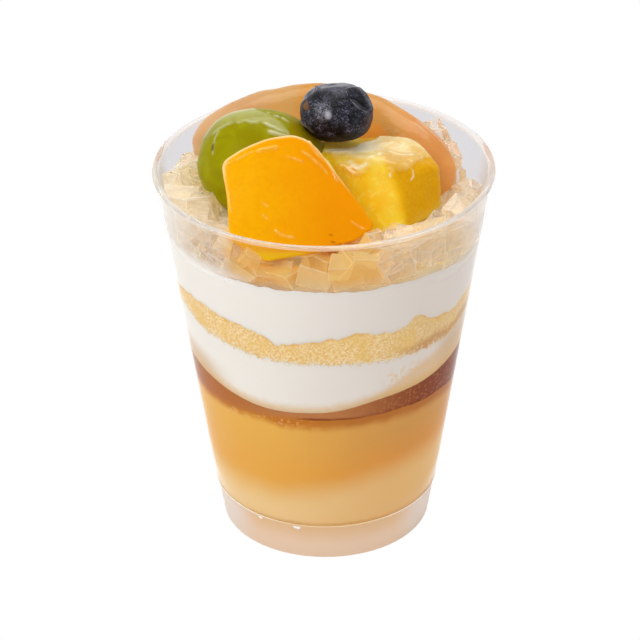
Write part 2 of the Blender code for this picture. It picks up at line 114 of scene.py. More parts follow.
class Look(Tree):
    def __init__(self, name, constants):
        self.material = bpy.data.materials.new(name)
        self.material.use_nodes = True
        super().__init__(self.material.node_tree)
        self.shader = self.tree.nodes["Principled BSDF"]
        self.place = self.add("ShaderNodeTexCoord").outputs["Object"]
        self.set(constants)

    def set(self, sockets):
        for key, value in sockets.items():
            self.put(self.shader.inputs[key], value)

    def number(self, kind, sockets=None, output=0, **settings):
        return Num(self, self.add(kind, sockets, **settings).outputs[output])

    def axes(self):  # the place on the piece, in mm
        node = self.add("ShaderNodeSeparateXYZ", {0: self.place})
        return [Num(self, node.outputs[k]) * 1000 for k in range(3)]

    def stored(self, name):
        return self.number("ShaderNodeAttribute", None, "Fac", attribute_name=name)

    def stretched(self, turn, scale):
        sockets = {"Vector": self.place, "Rotation": [math.radians(angle) for angle in turn], "Scale": scale}
        return self.add("ShaderNodeMapping", sockets, vector_type="TEXTURE").outputs[0]

    def grain(self, size, detail=2.0, roughness=0.5, where=None, bend=0.0):  # soft noise, its grains this many mm wide
        return self.number("ShaderNodeTexNoise", {"Vector": where or self.place, "Scale": 1000 / size,
                                                  "Detail": detail, "Roughness": roughness, "Distortion": bend})

    def cells(self, size):
        return self.number("ShaderNodeTexVoronoi", {"Vector": self.place, "Scale": 1000 / size})

    def mix(self, share, first, second):  # each is a screen colour, or what another mix gives
        first, second = (paint(*colour) if isinstance(colour, tuple) else colour for colour in (first, second))
        return self.add("ShaderNodeMix", {0: share, 6: first, 7: second}, data_type="RGBA").outputs[2]

    def cover(self, share, colour):
        self.body = self.mix(share, self.body, colour)

    def done(self, height=None, depth=0.0, strength=0.0):  # the colour as it now is, and fine relief of a depth in mm
        self.set({"Base Color": self.body})
        if height:
            bump = self.add("ShaderNodeBump", {"Strength": strength, "Distance": depth * mm, "Height": height})
            self.set({"Normal": bump.outputs[0]})
        return self

    def blend(self, share, first, second):
        return self.add("ShaderNodeMixShader", {0: share, 1: first.outputs[0], 2: second.outputs[0]})

    def show(self, shader):
        self.put(self.tree.nodes["Material Output"].inputs["Surface"], shader.outputs[0])
        return self

    def letLightIn(self, tint, shown=None):  # lamps and soft light pass a clear wall unbent, and so do long paths
        path = self.add("ShaderNodeLightPath").outputs
        shadow, soft, depth = (Num(self, path[name]) for name in ("Is Shadow Ray", "Is Diffuse Ray", "Ray Depth"))
        clear = self.add("ShaderNodeBsdfTransparent", {"Color": paint(*tint)})
        return self.show(self.blend(shadow.most(soft).most(depth.over(longPath)), shown or self.shader, clear))


def paint(*screen):  # a screen colour as light
    return (*[(c / 255 / 12.92 if c <= 10 else ((c / 255 + 0.055) / 1.055) ** 2.4) for c in screen], 1.0)


def softLook(name, roughness, shine, soft, depth, spread, coatRoughness=0.03):
    # Light sinks in: how much of it, how deep in mm, and how far in red, green and blue
    look = Look(name, {"Roughness": roughness, "Specular IOR Level": shine, "Subsurface Weight": soft,
                       "Subsurface Scale": depth * mm, "Subsurface Radius": spread, "Coat Roughness": coatRoughness})
    return look, *look.axes()


def upSlope(y, z):  # how far up a plane that leans back by 30 degrees
    return y * 0.506 + z * 0.862


# Meshes: rings of points from one end of a shape to the other

def shell(name, rings, ends, look, stored=None):
    sides = len(rings[0])
    points = [ends[0]] + [p for ring in rings for p in ring] + [ends[1]]
    last = 1 + (len(rings) - 1) * sides
    faces = []
    for i in range(sides):
        j = (i + 1) % sides
        faces += [(0, 1 + j, 1 + i), (len(points) - 1, last + i, last + j)]
        faces += [(a + i, a + j, a + sides + j, a + sides + i) for a in range(1, last, sides)]
    mesh = bpy.data.meshes.new(name)
    mesh.from_pydata(points, [], faces)
    for key, (first, values, final) in (stored or {}).items():
        store(mesh, key, [first] + [v for ring in values for v in ring] + [final])
    return addPiece(name, mesh, look)


def roundShell(name, point, angles, sides, look, stored=None):  # point takes the angle from one end, and the turn
    rings = [[point(angle, math.tau * i / sides) for i in range(sides)] for angle in angles]
    return shell(name, rings, (point(0, 0), point(math.pi, 0)), look, stored)


def addPiece(name, mesh, look):
    data = bmesh.new()
    data.from_mesh(mesh)
    bmesh.ops.recalc_face_normals(data, faces=data.faces)
    data.to_mesh(mesh)
    data.free()
    mesh.shade_smooth()
    mesh.set_sharp_from_angle(angle=sharpEdge)
    mesh.materials.clear()
    mesh.materials.append(look.material)
    piece = bpy.data.objects.new(name, mesh)
    scene.collection.objects.link(piece)
    return piece


def settle(piece, slot, node):
    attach(piece, "root")
    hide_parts(node)


def store(mesh, name, values, domain="POINT"):
    mesh.attributes.new(name, "FLOAT", domain).data.foreach_set("value", values)


def arrayOf(values, kind):
    flat = np.empty(len(values) * 3, np.float32)
    values.foreach_get(kind, flat)
    return flat.reshape(-1, 3)


def ripple(point, wave):  # smooth chance between -1 and 1, its waves this many mm long
    return noise.noise(Vector(point) / (wave * mm))


def roughen(piece, reliefs, hold=lambda point: 1.0):  # moves points along their normals, by (wave, height) in mm
    normals = arrayOf(piece.data.vertex_normals, "vector")
    for vertex, normal in zip(piece.data.vertices, normals):
        rise = sum(height * mm * ripple(vertex.co + Vector((0, 0, 7 * n * mm)), wave)
                   for n, (wave, height) in enumerate(reliefs))
        vertex.co += Vector(normal) * (rise * hold(vertex.co))
    piece.data.update()


def smooth(share):
    share = np.clip(share, 0, 1)
    return share * share * (3 - 2 * share)


def addMarks(piece, marks, stored=None):
    # Raised lines and drops of glaze and sunken creases: (half width, height, corners), all in mm.
    # What each mark covers is stored for the finish, as glaze or as crease; the finishes paint the glaze paler, which
    # is a painted sheen.
    mesh = piece.data
    points, normals = arrayOf(mesh.vertices, "co") / mm, arrayOf(mesh.vertex_normals, "vector")
    rise = np.zeros(len(points))
    covers = {"glazeAndSheen": rise, "crease": rise}
    for width, height, line in marks:
        line = np.array(line)
        near = np.linalg.norm(points - line[0], axis=1)
        for a, b in zip(line[:-1], line[1:]):
            share = np.clip((points - a) @ (b - a) / ((b - a) @ (b - a)), 0, 1)
            near = np.minimum(near, np.linalg.norm(points - a - share[:, None] * (b - a), axis=1))
        close = smooth(1 - near / width)
        rise = rise + height * close
        kind = "glazeAndSheen" if height > 0 else "crease"
        covers[kind] = np.maximum(covers[kind], close)
    for name, (height, cover) in (stored or {}).items():
        covers[name] = cover(points)
        rise = rise + height * covers[name]
    mesh.vertices.foreach_set("co", ((points + normals * rise[:, None]) * mm).ravel())
    for name, cover in covers.items():
        store(mesh, name, cover)
    mesh.update()


def dress(piece, shape, covers=None):
    roughen(piece, shape["relief"])
    addMarks(piece, shape["marks"], covers)
    settle(piece, shape["slot"], shape["node"])


# The cup

cup = {
    "height": 89.2 * mm,
    "rimRadius": 38.0 * mm,
    "bead": 1.6 * mm,
    "lip": 0.9 * mm,
    "neck": 0.6 * mm,  # how far under the bead the outside of the wall ends
    "rimFrom": 1.1,  # beads from the top, where the rim's finish starts
    "wallTop": 37.2 * mm,
    "footTop": 25.6 * mm,
    "footHeight": 9.6 * mm,
    "footStep": 0.3 * mm,
    "footEdge": 0.4 * mm,
    "wall": 0.8 * mm,
    "floor": 0.8 * mm,
    "fillet": 1.6 * mm,
    "sides": 192,
    "arcSteps": 6,
    "wallSteps": 12,
    "reach": 0.12 * mm,  # how far the filling reaches into the wall
    # the bead at the foot's joint: radius and z round its profile, in mm
    "seam": [(25.3, 9.3), (25.4, 9.34), (25.5, 9.45), (25.57, 9.58), (25.62, 9.7), (25.5, 9.72), (25.2, 9.5)],
    "nicks": [(-37.2, 8.75, 1.5, 0.7), (-16.2, 8.5, 2.2, 1.0)],  # azimuth, z, width and height in mm
    "nickOut": 0.22 * mm,
    "nickSides": 12,
    "nickShape": [(0.0, 0.12), (0.3, 0.5), (0.6, 0.85), (0.85, 1.0), (1.0, 0.5)],  # share of width, then of height
}


def wallRadius(z):
    share = (z - cup["footHeight"]) / (cup["height"] - cup["bead"] - cup["footHeight"])
    return cup["footTop"] + (cup["wallTop"] - cup["footTop"]) * share


def fillRadius(z):
    return wallRadius(z) - cup["wall"] + cup["reach"]


def turnsOf(sides):
    return [360 * i / sides for i in range(sides)]


def around(azimuth, radius, z):  # azimuths in degrees from the front, growing to the right
    turn = math.radians(azimuth)
    return Vector((radius * math.sin(turn), -radius * math.cos(turn), z))


def arcPoints(x, z, radius, start, end):
    turns = [math.radians(start + (end - start) * i / cup["arcSteps"]) for i in range(cup["arcSteps"] + 1)]
    return [(x + radius * math.cos(a), z + radius * math.sin(a)) for a in turns]


def cupProfiles():  # the cup above its floor's underside, and the foot ring below it
    wall, bead, base, step = cup["wall"], cup["bead"] / 2, cup["footHeight"], cup["footStep"]
    under, over = base - cup["floor"] / 2, base + cup["floor"] / 2
    footTop, footLow, edge = cup["footTop"] - step, wallRadius(0) - step, cup["footEdge"]
    wallTop, fillet, steps = cup["height"] - cup["bead"], cup["fillet"], cup["wallSteps"]
    flat = wallRadius(over + fillet) - wall - fillet
    body = [(footTop * k, under) for k in (0.25, 0.5, 0.75, 0.97)]
    body += [(footTop, under + 0.15 * mm), (footTop, base), (cup["footTop"], base + step)]
    levels = [base + step + (wallTop - cup["neck"] - base) * n / steps for n in range(1, steps + 1)]
    body += [(wallRadius(z), z) for z in levels]
    middle = cup["rimRadius"] - bead
    for radius, rise in arcPoints(middle, 0, bead, -30, 90) + arcPoints(middle, 0, bead, 110, 210):
        body.append((radius, wallTop + cup["lip"] * (0.5 + rise / cup["bead"])))  # wider than it is high
    levels = [wallTop + (over + fillet - wallTop) * n / steps for n in range(steps)]
    body += [(wallRadius(z) - wall, z) for z in levels]
    body += arcPoints(flat, over + fillet, fillet, 0, -90)
    body += [(flat * k, over) for k in (0.75, 0.5, 0.25)]
    high = base - 0.25 * mm
    foot = [(footTop - wall, high), (footTop - wall, under - cup["floor"])]
    foot += [(footLow - wall, 0.3 * mm), (footLow - wall + 0.1 * mm, 0.0)]
    foot += arcPoints(footLow - edge, edge, edge, -90, 0)
    foot += [(footLow + (footTop - footLow) * k, base * k) for k in (0.3, 0.6)]
    foot += [(footTop + 0.04 * mm, high - 0.1 * mm), (footTop + 0.02 * mm, high)]
    return body, foot, under, over


def makeRing(name, profile, look):  # a closed ring: its profile runs round and back
    sides = cup["sides"]
    points = [around(turn, radius, z) for radius, z in profile for turn in turnsOf(sides)]
    faces = []
    for n in range(len(profile)):
        a, b = n * sides, (n + 1) % len(profile) * sides
        faces += [(a + i, a + (i + 1) % sides, b + (i + 1) % sides, b + i) for i in range(sides)]
    mesh = bpy.data.meshes.new(name)
    mesh.from_pydata(points, [], faces)
    settle(addPiece(name, mesh, look), "clear_plastic", "cup")


def clearLook():
    look = Look("clearPlastic", {"Base Color": paint(236, 234, 237), "Roughness": 0.02, "IOR": 1.1,
                                 "Transmission Weight": 1.0})
    x, y, z = look.axes()
    # A pale diffuse tint, lighter towards the left where the light comes from, serves two things: a painted sheen at
    # the wall's sides, where a clear wall shows its reflection edge on, and the cream smeared on the wall
    sheenAndSmearTint = look.mix(x.ease(-6, 26), (240, 236, 229), (228, 219, 210))
    sheenAndSmear = look.add("ShaderNodeBsdfPrincipled", {"Base Color": sheenAndSmearTint, "Roughness": 0.5, "Specular IOR Level": 0.1})
    # the painted sheen: at both sides, towards the front, above the cream's top
    edgeSheen = x.size().ease(27, 35) * z.ease(73.5, 77.5) * y.ease(10, 0) * 0.35
    high = z + 2.5 * x.ease(10, 30)
    ends = x.ease(-14, -26).most(x.ease(20, 34))
    smear = (high + 2 * look.grain(3.0, 3.0) - 1).ease(79.6, 76.2) * high.ease(74.0, 75.8) * ends * 0.5
    # the smear is cream left on the wall over the cream's edge
    return look.letLightIn((252, 251, 251), look.blend(edgeSheen.most(smear), look.shader, sheenAndSmear))


def rimLook():
    look = Look("clearRim", {"Base Color": paint(253, 251, 250), "Roughness": 0.08, "IOR": 1.3,
                             "Transmission Weight": 0.75})
    return look.letLightIn((252, 251, 251))


def footLook():
    look = Look("clearFoot", {"Roughness": 0.3, "IOR": 1.46, "Transmission Weight": 0.5})
    x, _, z = look.axes()
    # The clear foot's colour is painted light: a peach glow of the custard's light, deeper towards the top, and a paler
    # grey painted sheen at both sides, where the ring is seen edge on
    ends = x.size().ease(15, 23)
    look.body = look.mix((z + 2 * look.grain(6.0, 3.0)).ease(4, 10) * (1 - ends), (238, 210, 184), (232, 194, 150))
    look.cover(ends, (232, 220, 211))
    return look.done().letLightIn((250, 246, 240))


def seamLook():
    look = Look("footSeam", {"Roughness": 0.3, "Specular IOR Level": 0.1})
    # The pale line along the joint is a painted highlight, brighter towards both sides
    look.body = look.mix(look.axes()[0].size().ease(7, 20), (246, 222, 180), (255, 252, 248))
    return look.done()


def nickLook():
    look = Look("footNick", {"Roughness": 0.15})
    # The tabs are clear; their white is a painted glint, and the grey at their lower edge is painted shade
    look.body = look.mix((look.axes()[2] + look.grain(0.6)).ease(9.1, 8.7), (255, 255, 255), (214, 206, 198))
    return look.done()


def makeNick(name, look, azimuth, level, wide, high):
    sides, rings = cup["nickSides"], []
    for share, tall in cup["nickShape"]:
        ring = []
        for turn in map(math.radians, turnsOf(sides)):
            z = (level + high * (0.5 - tall / 2) + high * tall / 2 * math.sin(turn)) * mm
            out = wallRadius(z) - cup["footStep"] + cup["nickOut"] * tall * math.cos(turn)
            ring.append(around(azimuth + math.degrees((share - 0.5) * wide * mm / cup["footTop"]), out, z))
        rings.append(ring)
    ends = [sum(ring, Vector()) / sides for ring in (rings[0], rings[-1])]
    settle(shell(name, rings, ends, look), "clear_plastic", "cup")


def makeCup():
    body, foot, under, over = cupProfiles()
    rings = [[around(turn, radius, z) for turn in turnsOf(cup["sides"])] for radius, z in body]
    piece = shell("cupClear", rings, (Vector((0, 0, under)), Vector((0, 0, over))), clearLook())
    piece.data.materials.append(rimLook().material)
    for face in piece.data.polygons:
        if face.center.z > cup["height"] - cup["bead"] * cup["rimFrom"]:
            face.material_index = 1
    settle(piece, "clear_plastic", "cup")
    makeRing("cupFootRing", foot, footLook())
    makeRing("cupFootSeam", [(radius * mm, z * mm) for radius, z in cup["seam"]], seamLook())
    look = nickLook()
    for n, nick in enumerate(cup["nicks"]):
        makeNick("footNick%d" % n, look, *nick)


# The layers. An edge has a level, bumps of (azimuth, height, half-width) and a fine ripple, all in mm

edges = {
    "floor": {"level": 9.45, "bumps": [], "ripple": 0.0},
    "caramelLow": {
        "level": 38.2, "ripple": 0.12, "wave": 2.4,
        "bumps": [(0, 2.3, 48), (36, 0.9, 18), (60, 0.8, 12), (85, -0.8, 16), (190, 2.4, 45)],
    },
    "caramelHigh": {
        "level": 45.6, "ripple": 0.10, "wave": 3.0,
        "bumps": [(-22, -3.4, 33), (6, -0.8, 14), (64, 1.0, 15), (81, 1.5, 13), (150, -1.8, 34), (232, -1.0, 24)],
    },
    "spongeLow": {
        "level": 56.2, "ripple": 0.45, "wave": 1.7,
        "bumps": [(-72, 3.4, 14), (-46, 1.1, 14), (38, -1.1, 20), (58, -1.1, 10), (104, 1.2, 18), (160, -0.9, 14),
                  (212, 1.4, 20), (250, -0.8, 12)],
    },
    "spongeHigh": {
        "level": 62.9, "ripple": 0.85, "wave": 2.4,
        "bumps": [(-55, 2.2, 24), (-17, -2.1, 9), (13, 1.2, 7), (37, 2.4, 5), (60, -1.1, 10), (92, 1.5, 12),
                  (124, -1.4, 9), (158, 1.2, 13), (196, -1.6, 10), (228, 1.6, 12), (262, -1.0, 9)],
    },
    "creamHigh": {"level": 75.9, "ripple": 0.5, "wave": 3.4, "bumps": [(74, -3.0, 22), (206, -1.4, 26)]},
}
layers = {
    "sides": 420,
    "discRings": 6,
    "rowHeight": 0.55,
    "fewestRows": 6,
    "fillet": 0.3 * mm,  # of the lowest layer's foot
    "far": 9.0,  # mm from the edge, for what lies away from it
    "rippleRadius": 33 * mm,
    "finer": 2.3,  # how many times finer the ripple's second wave is
}


def edgeHeight(edge, azimuth, share=1.0):
    rise = 0.0
    for at, height, halfWidth in edge["bumps"]:
        away = (azimuth - at + 180) % 360 - 180
        rise += height * math.exp(-((away / halfWidth) ** 2))
    height = edge["level"] + rise * share**2
    if edge["ripple"]:
        where, wave = around(azimuth, layers["rippleRadius"] * share, edge["level"] * mm), edge["wave"]
        height += edge["ripple"] * (ripple(where, wave) + 0.5 * ripple(where, wave / layers["finer"])) * share
    return height * mm


def makeLayer(name, low, high, look, slot, node):
    discRings, far, turns = layers["discRings"], layers["far"], turnsOf(layers["sides"])
    fillet = layers["fillet"] if low == "floor" else 0.0
    low, high = edges[low], edges[high]
    rows = []  # of points, with how far above the lower edge and below the upper edge they lie

    def addDisc(edge, share, over, under):
        levels = [edgeHeight(edge, turn, share) for turn in turns]
        rows.append([(around(turn, fillRadius(z) * share, z), over, under) for turn, z in zip(turns, levels)])

    for n in range(1, discRings):
        addDisc(low, n / discRings, 0.0, far)
    lows, highs = ([edgeHeight(edge, turn) for turn in turns] for edge in (low, high))
    count = max(layers["fewestRows"], round((np.mean(highs) - np.mean(lows)) / mm / layers["rowHeight"]))
    for n in range(count + 1):
        row = []
        for turn, bottom, top in zip(turns, lows, highs):
            z = bottom + (top - bottom) * (n / count)
            radius = fillRadius(z)
            if fillet and z < bottom + fillet:
                radius -= fillet - math.sqrt(max(0.0, fillet**2 - (bottom + fillet - z) ** 2))
            row.append((around(turn, radius, z), (z - bottom) / mm, (top - z) / mm))
        rows.append(row)
    for n in range(discRings - 1, 0, -1):
        addDisc(high, n / discRings, far, 0.0)
    ends = (Vector((0, 0, edgeHeight(low, 0, 0))), Vector((0, 0, edgeHeight(high, 0, 0))))
    rings, above, below = ([[point[k] for point in row] for row in rows] for k in range(3))
    stored = {"above": (0.0, above, far), "below": (far, below, 0.0)}
    settle(shell(name, rings, ends, look, stored), slot, node)


def custardLook():
    look, x, _, z = softLook("custardBaked", 0.4, 0.05, 0.25, 2.0, (1.0, 0.5, 0.2))
    cloud, below = look.grain(9.0), look.stored("below")
    right, level = (x + 5 * cloud).ease(-14, 24), z + 3 * cloud
    look.body = look.mix(right, (237, 181, 84), (216, 157, 82))
    look.cover(level.ease(38, 24) * level.ease(11, 26) * 0.8, look.mix(right, (238, 174, 76), (231, 153, 66)))
    # Paler towards the floor, the line rising to the right: a painted glow of light coming up through the clear floor
    paintedGlow = (z - 6.6 * x.ease(-16, 22) + 1.6 * cloud).ease(23.0, 13.6)
    look.cover(paintedGlow, look.mix(right, (244, 209, 148), (238, 192, 124)))
    seep = below + 1.8 * look.grain(2.4, 3.0) + 1.3 * look.grain(0.7, 3.0, 0.7) + 1.3 * x.ease(-9, -15)
    look.cover(seep.ease(5.3, 2.4) * 0.9, look.mix(x.ease(-8, 8), (196, 112, 24), (186, 110, 42)))
    rings = look.cells(1.0)
    bubbles = rings.ease(0.4, 0.3) * rings.ease(0.1, 0.2) * (below + 1.6 * cloud).ease(3.6, 1.6) * x.ease(0, -10)
    look.cover(bubbles * 0.4, (250, 206, 144))
    look.cover(look.cells(1.5).ease(0.12, 0.05) * 0.3, (250, 208, 140))
    return look.done(look.grain(0.8, 3.0), 0.05, 0.3)


def caramelLook():
    look, x, *_ = softLook("caramelThick", 0.3, 0.05, 0.15, 1.5, (1.0, 0.4, 0.2))
    look.body = look.mix(x.ease(-24, -8), (184, 110, 50), (190, 125, 74))
    look.cover(x.ease(-2, 26), (135, 62, 30))
    look.cover(x.size().ease(25, 31) * 0.5, (126, 52, 4))
    above = look.stored("above")
    line = (above + 0.8 * look.grain(1.6, 3.0)).ease(1.2, 0.7)
    look.cover(line * (x + 3 * look.grain(4.0)).ease(-7, -3) * (0.35 + 0.4 * x.ease(10, 4)), (128, 44, 10))
    look.cover((above + 1.2 * look.grain(1.8, 3.0)).ease(2.2, 0.6) * x.ease(-2, -9) * 0.8, (200, 124, 50))
    look.cover(look.cells(0.95).ease(0.42, 0.24) * (x + 4 * look.grain(3.0)).ease(-4, 12) * 0.38, (206, 136, 76))
    return look.done(look.grain(1.2, 3.0), 0.05, 0.25)


def creamLook(name, lower):
    look, x, *_ = softLook(name, 0.55, 0.05, 0.3, 2.0, (1.0, 0.85, 0.7))
    cloud, above, below = look.grain(14.0), look.stored("above"), look.stored("below")
    look.body = look.mix((x + 6 * cloud).ease(-20, 34), (244, 240, 230), (228, 219, 209))
    if lower:
        rough = look.grain(1.1, 4.0, 0.7)
        stain = (above + 3.0 * cloud + 3.0 * rough - 5.6 * (x + 4 * cloud).ease(9, 26)).ease(4.6, 1.8)
        look.cover(stain * (x + 6 * cloud).ease(4, 18) * 0.8, (226, 192, 146))
        look.cover(x.ease(23, 28) * 0.6, (202, 172, 134))
        look.cover((x + 3 * cloud).ease(-17, -27) * (above + 2 * cloud).ease(9, 3) * 0.8, (212, 180, 138))
        look.cover((above + 1.4 * look.grain(1.4, 3.0)).ease(3.8, 0.8) * 0.75, (226, 182, 116))
        frayed = x + 3 * rough
        specks = rough.ease(0.5, 0.6) * frayed.ease(13, 17) * frayed.ease(34, 26) * above.ease(8.5, 5)
        look.cover(specks * 0.6, (234, 190, 130))
        crumbs = (look.grain(0.6, 3.0, 0.75) - 0.12 * below).ease(0.47, 0.56) * below.ease(2.2, 0.6)
        look.cover(crumbs * 0.85, (238, 196, 126))
    else:
        look.cover((above + 1.2 * look.grain(2.0)).ease(1.6, 0.5) * 0.35, (236, 214, 180))
    return look.done(look.grain(2.4, 3.0), 0.12, 0.35)


def spongeLook():
    look, x, *_ = softLook("spongeCake", 0.85, 0.05, 0.15, 1.5, (1.0, 0.6, 0.3))
    crumb, patch = look.grain(0.55, 4.0, 0.7), look.grain(5.0)
    below, above = look.stored("below"), look.stored("above")
    look.body = look.mix(crumb.ease(0.36, 0.64), (234, 188, 112), (253, 228, 174))
    look.cover((x + 8 * patch).ease(10, 30) * 0.4, (212, 182, 138))
    look.cover(patch.ease(0.45, 0.7) * 0.5, (240, 198, 110))
    look.cover((below + 0.9 * crumb).ease(1.3, 0.5) * patch.ease(0.4, 0.6) * 0.5, (230, 168, 82))
    baked = (above + 2.4 * patch + 0.8 * crumb).ease(5.4, 3.0) * (x + 3 * patch).ease(15, 23)
    look.cover(baked * 0.7, (196, 138, 82))
    pores = look.cells(1.0).ease(0.2, 0.08)
    look.cover(pores * 0.25, (222, 166, 84))
    frost = (look.grain(0.55, 3.0, 0.75) - 0.10 * above).ease(0.42, 0.52) * above.ease(2.6, 1.4)
    look.cover(frost * 0.8, (242, 226, 196))
    return look.done(crumb - pores * 0.5, 0.2, 0.4)


# The jelly: broken clear cubes heaped over a paler core

jelly = {
    "top": {
        "level": 83.0, "ripple": 0.0,
        "bumps": [(-90, 1.4, 26), (-50, -1.4, 14), (10, 1.4, 40), (100, -2.4, 22), (180, 3.2, 44)],
    },
    "coreDrop": 5.0 * mm,
    "coreInset": 4.6 * mm,
    "coreSides": 240,
    "coreRings": 17,
    "coreFoot": 70 * mm,  # height of the wall that its underside's width is taken from
    "relief": [(5.0, 0.9), (2.2, 0.4)],
    "smoothUnder": 77 * mm,
    "smoothBeyond": 33 * mm,
    "heapPieces": 84,
    "wallPieces": 44,
    "wallArc": (61, 300),  # azimuths between which the wall's pieces lie, in two rows
    "wallSweep": 480,
    "size": (6.6, 9.4),
    "stretch": ((0.75, 0.75, 0.5), (1.1, 1.1, 0.9)),
    "tip": 0.5,
    "skew": 0.7 * mm,
    "bevel": 0.28 * mm,
    "seed": 7,
    "pressedAt": 78 * mm,  # height of the wall that the cream's width is taken from
    "amber": [(-5.0, -34.0, 0.5, 150), (-22.4, -28.2, 1.0, 9)],  # x and y of patches of painted mango glow, and how far they reach
    "bright": (-0.35, -0.25, 0.9),  # where a piece's light side looks
    "front": [
        # azimuth, z, size of the pieces at the front wall, from left to right and from low to high
        (-55, 78.4, 8.4), (-44, 77.4, 8.8), (-34, 77.0, 8.4), (-25, 77.0, 8.2), (-14, 77.2, 7.8), (-3, 77.2, 8.4),
        (8, 78.4, 8.8), (19, 78.0, 8.6), (30, 77.8, 9.0), (42, 76.8, 8.8), (54, 76.0, 8.2),
        (-50, 83.4, 7.0), (-38.5, 83.6, 4.6), (-28, 81.8, 5.2), (6, 81.0, 5.6),
        (15, 82.4, 5.6), (25, 82.0, 6.4), (36, 81.8, 7.8), (47, 81.2, 7.8), (58, 81.0, 7.6),
    ],
    "behind": [(-50, 80.4, 8.0), (-38, 80.0, 8.4), (-29, 79.0, 7.6), (-19, 77.6, 7.6), (-8, 78.4, 8.2), (2, 79.2, 8.2),
               (14, 79.8, 8.6), (25, 80.2, 8.8), (37, 79.6, 8.6), (49, 79.0, 8.8), (60, 79.0, 8.0)],
    "behindBy": 3.4,
    "apart": 0.28,  # of a piece's size, from its middle to the fruit, so its corners may sink in
    "placed": [(24.0, 20.8, 85.0, 8.4), (27.2, 14.8, 83.2, 7.0), (-31.6, 2.4, 85.2, 6.8), (-31.4, -6.6, 83.6, 7.2),
               (-26.2, -8.8, 83.0, 6.8), (-27.2, -17.2, 83.0, 6.6)],  # x, y, z, size
    "crumbs": [(9.6, -28.2, 83.6, 4.6), (13.2, -27.2, 82.6, 4.4), (6.4, -29.6, 82.4, 4.0), (11.0, -26.0, 84.2, 3.2),
               (16.4, -24.6, 82.0, 4.4)],
    "leaning": [(112, 78.4, 7.6), (244, 79.6, 8.4), (258, 81.0, 8.0)],
}
jellyTints = {
    # finish: clearness, the two ends of its tone and the tone of what looks down, a painted shade
    "jellyClear": (0.84, (255, 252, 244), (252, 243, 224), (247, 238, 212)),
    "jellyClearEdge": (0.7, (255, 252, 245), (253, 246, 232), (249, 236, 208)),
    "jellyAmber": (0.66, (255, 242, 186), (254, 218, 128), (251, 209, 116)),
    "jellyAmberEdge": (0.6, (255, 246, 206), (254, 222, 140), (253, 216, 132)),
}


def jellyLook(name):
    clear, pale, deep, side = jellyTints[name]
    look = Look(name, {"Roughness": 0.03, "IOR": 1.32, "Transmission Weight": clear})
    x, y, z = look.axes()
    low = z.ease(84.5, 81.0)
    look.body = look.mix(look.stored("tone"), pale, deep)
    # Faces turned from the light take the darker side tone: painted shade
    look.cover(look.stored("facing").ease(0.5, -0.4), side)
    look.cover(x.ease(6, 20) * 0.35, (253, 234, 192))
    # Whiter at the left: painted light where the grape and the wall shade the pieces
    look.cover(x.ease(-19, -23) * (0.5 + 0.45 * low), (255, 251, 244))
    look.cover(x.ease(20, 26) * y.ease(-18, -10) * 0.85, (255, 248, 240))
    look.cover(x.ease(10, 17) * low * 0.5, (255, 250, 240))
    look.cover(z.ease(79.4, 75.6) * 0.55, (255, 247, 228))
    return look.done().letLightIn((254, 252, 246))


def jellyCoreLook():
    look, x, y, z = softLook("jellyCore", 0.35, 0.2, 0.3, 3.0, (1.0, 0.8, 0.5))
    patch = look.cells(4.2).ease(0.2, 0.8)
    pale = look.mix(patch, (242, 226, 190), (248, 240, 218))
    # Lighter at the left: painted light where the grape and the wall shade the core
    pale = look.mix(x.ease(-19, -23), pale, look.mix(patch, (252, 245, 232), (255, 252, 245)))
    pale = look.mix(x.ease(4, 16) * 0.6, pale, (242, 214, 156))
    # An amber patch at the front under the mango: a painted glow of the mango's light
    near = ((x + 4).square() * 0.5 + (y + 30).square()).ease(420, 60)
    look.body = look.mix(near, pale, look.mix(patch, (244, 178, 72), (250, 200, 104)))
    look.cover(z.ease(77.6, 75.6) * 0.5, (252, 238, 214))
    return look.done()


def cubeTree(look):  # one cube at each point, turned and stretched by chance, its corners pushed about
    group = bpy.data.node_groups.new("brokenCubes", "GeometryNodeTree")
    for name, way, kind in (("Geometry", "INPUT", "Geometry"), ("Skew", "INPUT", "Float"), ("Seed", "INPUT", "Int"),
                            ("Geometry", "OUTPUT", "Geometry")):
        group.interface.new_socket(name, in_out=way, socket_type="NodeSocket" + kind)
    tree = Tree(group)
    given = tree.add("NodeGroupInput").outputs
    tip = jelly["tip"]

    def chance(low, high):
        sockets = {0: low, 1: high, "Seed": given["Seed"]}
        return tree.add("FunctionNodeRandomValue", sockets, data_type="FLOAT_VECTOR").outputs[0]

    def scaled(vector, amount):
        return tree.add("ShaderNodeVectorMath", {0: vector, "Scale": amount}, operation="SCALE").outputs[0]

    size = tree.add("GeometryNodeInputNamedAttribute", {"Name": "size"}, data_type="FLOAT")
    tone = tree.add("FunctionNodeRandomValue", {2: 0.0, 3: 1.0, "Seed": given["Seed"]}, data_type="FLOAT")
    toned = tree.add("GeometryNodeStoreNamedAttribute",
                     {"Geometry": given["Geometry"], "Name": "tone", "Value": tone.outputs[1]},
                     data_type="FLOAT", domain="POINT")
    cube = tree.add("GeometryNodeMeshCube", {"Size": (1.0, 1.0, 1.0)})
    copies = tree.add("GeometryNodeInstanceOnPoints", {
        "Points": toned.outputs[0], "Instance": cube.outputs[0],
        "Rotation": chance((-tip, -tip, 0.0), (tip, tip, math.tau)),
        "Scale": scaled(chance(*jelly["stretch"]), size.outputs[0]),
    })
    made = tree.add("GeometryNodeRealizeInstances", {"Geometry": copies.outputs[0]})
    stray = scaled(chance((-1.0, -1.0, -1.0), (1.0, 1.0, 1.0)), given["Skew"])
    made = tree.add("GeometryNodeSetPosition", {"Geometry": made.outputs[0], "Offset": stray})
    made = tree.add("GeometryNodeSetShadeSmooth", {"Geometry": made.outputs[0], "Shade Smooth": False})
    made = tree.add("GeometryNodeSetMaterial", {"Geometry": made.outputs[0], "Material": look.material})
    tree.add("NodeGroupOutput", {0: made.outputs[0]})
    return group


